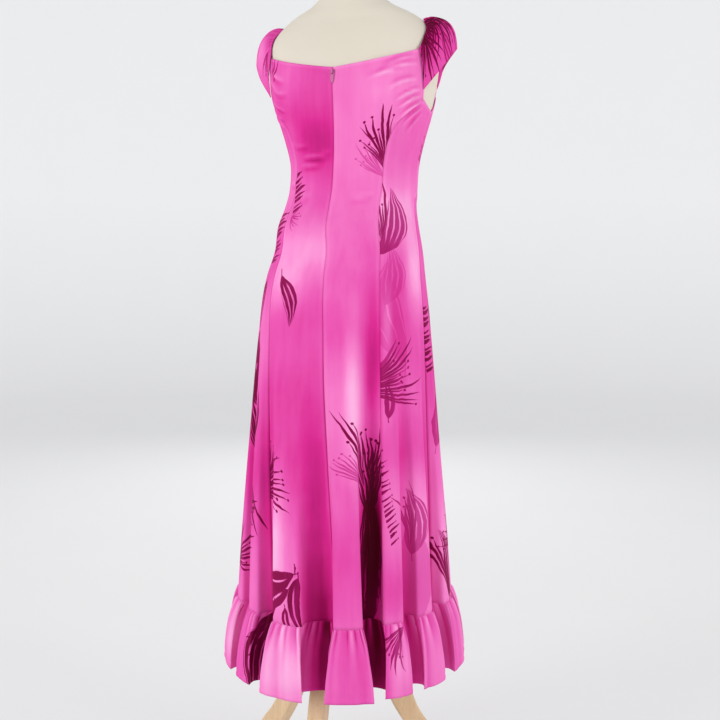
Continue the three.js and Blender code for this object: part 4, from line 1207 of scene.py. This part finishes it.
def rounded(profile, radius=2.0, parts=5):
    """A profile whose inner corners are rounded: each is replaced by a quadratic curve between two points
    that lie a radius before and after it."""
    profile = np.array(profile, float)
    made = [profile[0]]
    for before, corner, after in zip(profile, profile[1:], profile[2:]):
        reach = min(radius, np.linalg.norm(corner - before) * 0.45, np.linalg.norm(after - corner) * 0.45)
        start = corner + reach * unit(before - corner)
        end = corner + reach * unit(after - corner)
        for t in np.linspace(0, 1, parts):
            made.append((1 - t) ** 2 * start + 2 * t * (1 - t) * corner + t * t * end)
    return np.array(made + [profile[-1]])


def boxy(wave, power):
    """A wave with flat tops and steep sides, which makes a circle nearly a square: its size to a power below
    1, with its sign kept."""
    return np.sign(wave) * np.abs(wave) ** power


heights = np.concatenate([np.linspace(880, 1040, 24), np.linspace(1048, 1562, 96)])
angles = np.linspace(0, 360, 144, endpoint=False)[None, :]
torso = ring_point(FORM_RINGS, angles, heights[:, None], cup_out(angles, heights[:, None]))
form = skin("form_torso_cover", closed_ends(torso), wraps=True)
stands_for(form, "form_torso")

cap = rounded([(0, 1562.4), (50.5, 1562.4), (51, 1564), (51, 1568.5), (49, 1570.2), (0, 1570.2)], 1.8)
neck_cap = skin("form_neck_cap_turned", turned(cap, (TORSO_X, -20)), wraps=True)
stands_for(neck_cap, "form_neck_cap")
print("form", len(form.data.polygons), "faces")

# %% [markdown]
# ## The stand
#
# A steel tube stands on a turned beech hub with three sawn legs. A leg could be a bent tube, but a sawn
# board has flat sides and softly rounded edges, so its cross-section is nearly a square, between an upper
# and a lower edge curve.

# %% The stand's pieces
POLE, POLE_RADIUS, HUB_BOTTOM, HUB_TOP, HUB_RADIUS = (12.0, 6.0), 14.0, 262.0, 378.0, 34.0
POLE_FOOT_Z, POLE_HEAD_Z = 378.4, 879.6
pole_profile = rounded(
    [
        (0, POLE_FOOT_Z),
        (19, POLE_FOOT_Z),
        (19, 392),
        (POLE_RADIUS, 394),
        (POLE_RADIUS, 866),
        (30, 868),
        (30, POLE_HEAD_Z),
        (0, POLE_HEAD_Z),
    ],
    2.5,
)
pole = skin("stand_pole_tube", turned(pole_profile, POLE), wraps=True)
stands_for(pole, "stand_pole")

hub_profile = rounded(
    [
        (0, HUB_BOTTOM - 14),
        (20, HUB_BOTTOM - 12),
        (30, HUB_BOTTOM - 2),
        (HUB_RADIUS, HUB_BOTTOM),
        (HUB_RADIUS, HUB_TOP - 36),
        (31, HUB_TOP - 33),
        (27, HUB_TOP - 26),
        (26, HUB_TOP - 22),
        (25, HUB_TOP - 8),
        (24, HUB_TOP - 2),
        (22, HUB_TOP),
        (0, HUB_TOP),
    ],
    3.0,
)
hub = skin("stand_hub_turned", turned(hub_profile, POLE), wraps=True)
stands_for(hub, "stand_hub")

# the two edges of a leg: out from the pole, and up from the floor
LEG_UPPER = np.array([
    (34.3, 334), (70, 326), (104, 294), (130, 240), (157, 160), (187, 111), (218, 74), (244, 34), (240, 0),
], float)
LEG_LOWER = np.array([
    (34.3, 270), (66, 252), (90, 214), (111, 160), (140, 111), (164, 74), (190, 34), (210, 0),
], float)
LEG_ANGLES, LEG_THICK = [3, 123, 243], 30.0


def leg_grid(angle):
    """Rings from the hub to the foot. Each is nearly a square, as tall as the distance between the edge
    curves and as thick as the board."""
    s = np.linspace(0, 1, 60)
    upper, lower = (
        np.stack([curve(np.linspace(0, 1, len(edge)), edge[:, k], s) for k in (0, 1)], -1)
        for edge in (LEG_UPPER, LEG_LOWER)
    )
    round_by = np.linspace(0, 2 * np.pi, 48, endpoint=False)
    high = boxy(np.cos(round_by), 0.28)[None, :, None]
    side = boxy(np.sin(round_by), 0.28)[None, :]
    middle, half = ((upper + lower) / 2)[:, None], ((upper - lower) / 2)[:, None]
    place = middle + half * high
    beside = np.repeat(side * LEG_THICK / 2, len(s), 0)
    a = np.radians(angle)
    x = POLE[0] - place[..., 0] * np.sin(a) - beside * np.cos(a)
    y = POLE[1] + place[..., 0] * np.cos(a) - beside * np.sin(a)
    return closed_ends(np.stack([x, y, np.maximum(place[..., 1], 0)], -1))


legs = [skin(f"stand_leg_{k + 1}_board", leg_grid(angle), wraps=True) for k, angle in enumerate(LEG_ANGLES)]
for k, leg in enumerate(legs):
    stands_for(leg, f"stand_leg_{k + 1}")
print("stand pieces:", 2 + len(legs))

# %% [markdown]
# ## The zip's slider and pull
#
# The zip is concealed, so only a small bridge stands out of the seam at the top, and a drop-shaped pull
# hangs from it. Both are plates with a hole. Such a plate is a ring: an inner and an outer outline with the
# same number of points, and a small rounded section swept between them.

# %% The zip's pieces
ZIP_TOP, BRIDGE_TALL, BRIDGE_WIDE = 1363.0, 8.0, 3.0


def outline(corners, radius, count=96):
    """A closed outline through rounded corners, as count points evenly spaced along it."""
    loop = rounded([*corners, corners[0], corners[1]], radius, 9)[1:-1]
    gone = np.concatenate([[0], np.cumsum(np.linalg.norm(np.diff(loop, axis=0), axis=1))])
    even = np.linspace(0, gone[-1], count, endpoint=False)
    return np.stack([np.interp(even, gone, loop[:, k]) for k in (0, 1)], -1)


def plate_ring(inner, outer, thick):
    """Between the outlines at each place runs a loop that is nearly a square: halfway plus half the distance
    times a boxy cosine, and half the thickness times a boxy sine."""
    shift = np.argmin(np.linalg.norm(outer - inner[0] - (inner[0] - inner.mean(0)) * 0.5, axis=1))
    outer = np.roll(outer, -shift, axis=0)
    turn = np.linspace(0, 2 * np.pi, 20, endpoint=False)
    across = boxy(np.cos(turn), 0.35)[None, :, None]
    place = (inner + outer)[:, None] / 2 + (outer - inner)[:, None] / 2 * across
    up = np.broadcast_to(boxy(np.sin(turn), 0.35) * thick / 2, place.shape[:2])
    return place, up


ZIP_BOTTOM = ZIP_TOP - BRIDGE_TALL
zip_x = float(ring_point(DRESS_RINGS, turn_angle(0.0, ZIP_TOP), ZIP_TOP)[0])
zip_y = float(ring_point(DRESS_RINGS, turn_angle(0.0, ZIP_BOTTOM), ZIP_BOTTOM)[1]) + SEAM_GAP
pin_y, pin_z = zip_y + 2.3, ZIP_TOP - 2.3

window = outline([(1.05, 1.05), (1.05, 6.95), (3.55, 6.95), (3.55, 1.05)], 0.4)
bridge = outline([(0, 0), (0, 8), (4.55, 8), (4.55, 0)], 1.4)
place, up = plate_ring(window, bridge, BRIDGE_WIDE)
grid = np.stack([zip_x + up, zip_y + place[..., 0], ZIP_BOTTOM + place[..., 1]], -1)
slider = skin("zip_slider_bridge", grid, wraps=True, closes=True)
stands_for(slider, "zip_slider")

eye = outline([(-1.85, -0.6), (1.85, -0.6), (1.85, -6.9), (-1.85, -6.9)], 0.8)
drop = outline(
    [(-2.95, 0.58), (2.95, 0.58), (2.95, -16), (2.2, -21.5), (0, -21.9), (-2.2, -21.5), (-2.95, -16)], 1.6
)
place, up = plate_ring(eye, drop, 1.15)
grid = np.stack([zip_x + place[..., 0], pin_y + up, pin_z + place[..., 1]], -1)
pull = skin("zip_pull_drop", grid, wraps=True, closes=True)
stands_for(pull, "zip_pull", body="zip_pull_tab")
print("zip at", round(zip_x, 2), round(zip_y, 2), "pin", round(pin_y, 2), round(pin_z, 2))

# %% [markdown]
# ## Linen, beech, steel and enamel
#
# The form's linen has a fine plain weave and is quite matt. The beech is pale with long grain and short
# darker flecks. The tube is brushed steel, and the zip is enamelled to match the dress.

# %% The other materials
def linen():
    material, wire = new_material("linen_cream")
    place = wire.node("TexCoord", out=3)
    cloud = wire.node("TexNoise", {"Vector": place, "Scale": 7.0, "Detail": 3.0})
    weft, warp = (
        wire.node(
            "TexWave",
            {"Vector": place, "Scale": scale, "Distortion": bend, "Detail": 1.0},
            out=1,
            bands_direction=way,
        )
        for scale, bend, way in ((260.0, 0.6, "Z"), (300.0, 0.4, "X"))
    )
    colour = cloud.mixed((0.64, 0.58, 0.475, 1), (0.72, 0.665, 0.575, 1))
    rough = 0.86 + (cloud - 0.5) * 0.1
    finish(wire, colour, rough, weft * warp, 0.2, 0.0003, Sheen_Weight=0.15, Sheen_Roughness=0.5)
    return material


def beech(name, along):
    """Grain along one axis: noise that is stretched along it."""
    material, wire = new_material(name)
    place = wire.node("TexCoord", out=3)
    long = wire.node("Mapping", {"Vector": place, "Rotation": along, "Scale": (60.0, 60.0, 4.0)})
    flecks = wire.node("Mapping", {"Vector": place, "Rotation": along, "Scale": (420.0, 420.0, 60.0)})
    grain = wire.node("TexNoise", {"Vector": long, "Scale": 1.0, "Detail": 5.0, "Distortion": 0.6})
    fleck = wire.node("TexNoise", {"Vector": flecks, "Scale": 1.0, "Detail": 2.0})
    dark = fleck.below(0.36, 0.1) * 0.35
    pale = grain.mixed((0.56, 0.36, 0.19, 1), (0.78, 0.57, 0.35, 1))
    colour = dark.mixed(pale, (0.42, 0.25, 0.12, 1))
    rough = 0.42 + grain * 0.14
    finish(wire, colour, rough, grain + fleck * 0.4, 0.15, 0.0004, Coat_Weight=0.25, Coat_Roughness=0.3)
    return material


def brushed_steel():
    material, wire = new_material("brushed_steel")
    place = wire.node("TexCoord", out=3)
    lines = wire.node("Mapping", {"Vector": place, "Scale": (30.0, 30.0, 2600.0)})
    brush = wire.node("TexNoise", {"Vector": lines, "Scale": 1.0, "Detail": 3.0})
    colour = brush.mixed((0.50, 0.51, 0.53, 1), (0.66, 0.67, 0.69, 1))
    finish(wire, colour, 0.28 + brush * 0.16, brush, 0.1, 0.0002, Metallic=1.0)
    return material


def zip_enamel():
    material, wire = new_material("zip_enamel")
    place = wire.node("TexCoord", out=3)
    worn = wire.node("TexNoise", {"Vector": place, "Scale": 500.0, "Detail": 3.0})
    colour = worn.mixed((0.36, 0.06, 0.19, 1), (0.50, 0.12, 0.29, 1))
    finish(wire, colour, 0.3 + worn * 0.2, worn, 0.1, 0.0001, Metallic=0.2)
    return material


form.data.materials.append(linen())
for piece in (neck_cap, hub):
    piece.data.materials.append(beech("beech_" + piece.name, (0.0, 0.0, 0.0)))
for leg, angle in zip(legs, LEG_ANGLES):
    leg.data.materials.append(beech("beech_" + leg.name, (0.0, np.radians(35), np.radians(-angle - 90))))
pole.data.materials.append(brushed_steel())
enamel = zip_enamel()
slider.data.materials.append(enamel)
pull.data.materials.append(enamel)
print("materials", len(bpy.data.materials))

# %% [markdown]
# ## What the cloth is
#
# Each sheet says the size it was cut to before it was sewn: its widest width and its length, and the area
# of the cut, because a panel narrows to the waist.

BODY = "form_torso_cover"
SHEETS = {
    "centre_back_right": ((0.2, 1.05), 0.128, "hung", [BODY]),
    "side_back_right": ((0.22, 0.97), 0.122, "hung", [BODY]),
    "side_front_right": ((0.24, 0.97), 0.135, "hung", [BODY]),
    "centre_front": ((0.6, 1.03), 0.325, "hung", [BODY]),
    "side_front_left": ((0.25, 0.97), 0.134, "hung", [BODY]),
    "side_back_left": ((0.23, 0.97), 0.122, "hung", [BODY]),
    "centre_back_left": ((0.2, 1.06), 0.144, "hung", [BODY]),
    "ruffle_back": ((1.29, 0.14), None, "gathered", ["centre_back_right_cloth", "centre_back_left_cloth"]),
    "ruffle_front": ((1.61, 0.14), None, "gathered", ["centre_front_cloth"]),
    "sleeve_right": ((0.29, 0.085), 0.0165, "gathered", [BODY]),
    "sleeve_left": ((0.29, 0.085), 0.0165, "gathered", [BODY]),
}
for name, (flat, area, held, rests_on) in SHEETS.items():
    made_pieces[name + "_cloth"]
print("sheets", len(SHEETS))

# %% [markdown]
# ## The studio
#
# A plain pale floor that sweeps up into a round wall and glows a little, more the higher it rises, which is
# painted light; even light from above, and large soft lamps before the back of the dress. The camera stands
# two metres away, a little above the middle and 20 degrees round to the wearer's right.

# %% Floor, lamps and camera
def stage_floor():
    material, wire = new_material("floor_pale_grey")
    place = wire.node("TexCoord", out=3)
    speck = wire.node("TexNoise", {"Vector": place, "Scale": 3.0, "Detail": 2.0})
    # The floor and wall glow, more the higher they rise: painted light that also lights the dress a little.
    high = (wire.node("SeparateXYZ", {0: place}, out=2).at_least(0) / 1.5) ** 0.5
    glow = high.at_least(0).at_most(1).mixed((0.36, 0.36, 0.363, 1), (0.5, 0.504, 0.51, 1))
    grey = speck.mixed((0.42, 0.42, 0.425, 1), (0.44, 0.44, 0.445, 1))
    finish(wire, grey, 0.8 + speck * 0.05, Emission_Color=glow, Emission_Strength=1.0)
    sweep = rounded([(0, 0), (7500, 0), (7500, 3600)], 3200, 24)
    floor = skin("floor", turned(sweep, (0, 0), 96)[:, ::-1], wraps=True)
    floor.data.materials.append(material)


def look_along(way):
    """The turn that points a lamp's or camera's -Z along a direction, with its Y upwards."""
    level = np.hypot(way[0], way[1])
    return (np.arctan2(level, -way[2]), 0.0, np.arctan2(-way[0], way[1]))


def soft_lamp(name, place, aim, size, watts):
    lamp = bpy.data.lights.new(name, "AREA")
    lamp.shape, lamp.size, lamp.size_y, lamp.energy = "RECTANGLE", size[0], size[1], watts
    thing = bpy.data.objects.new(name, lamp)
    thing.location = place
    thing.rotation_euler = look_along(np.array(aim, float) - np.array(place, float))
    bpy.context.scene.collection.objects.link(thing)


stage_floor()
soft_lamp("lamp_left", (2.0, 2.6, 1.7), (0, 0, 0.8), (1.1, 1.6), 50)
soft_lamp("lamp_right", (-3.4, 0.7, 1.6), (0, 0, 0.8), (1.1, 1.6), 46)
soft_lamp("lamp_front", (1.2, -3.2, 2.0), (0, 0, 0.8), (1.1, 1.6), 30)
world = bpy.data.worlds.new("studio")
world.use_nodes = True
world.node_tree.nodes["Background"].inputs["Color"].default_value = (0.80, 0.81, 0.82, 1)
world.node_tree.nodes["Background"].inputs["Strength"].default_value = 0.75
bpy.context.scene.world = world

AZIMUTH, ELEVATION, DISTANCE = np.radians(200), np.radians(5.9), 2.0
target = np.array([0.0, 0.0, 841.4]) * 0.001 - PLAN_MIDDLE * 0.001
level = np.cos(ELEVATION)
back = np.array([np.sin(AZIMUTH) * level, -np.cos(AZIMUTH) * level, np.sin(ELEVATION)])
camera = bpy.data.cameras.new("camera")
camera.lens, camera.sensor_width, camera.shift_x = 53.2, 36.0, 0.0215
camera_thing = bpy.data.objects.new("camera", camera)
camera_thing.location = target + back * DISTANCE
camera_thing.rotation_euler = look_along(-back)
bpy.context.scene.collection.objects.link(camera_thing)
bpy.context.scene.camera = camera_thing
bpy.context.scene.view_settings.view_transform = "Standard"
print("camera at", np.round(camera_thing.location, 3))
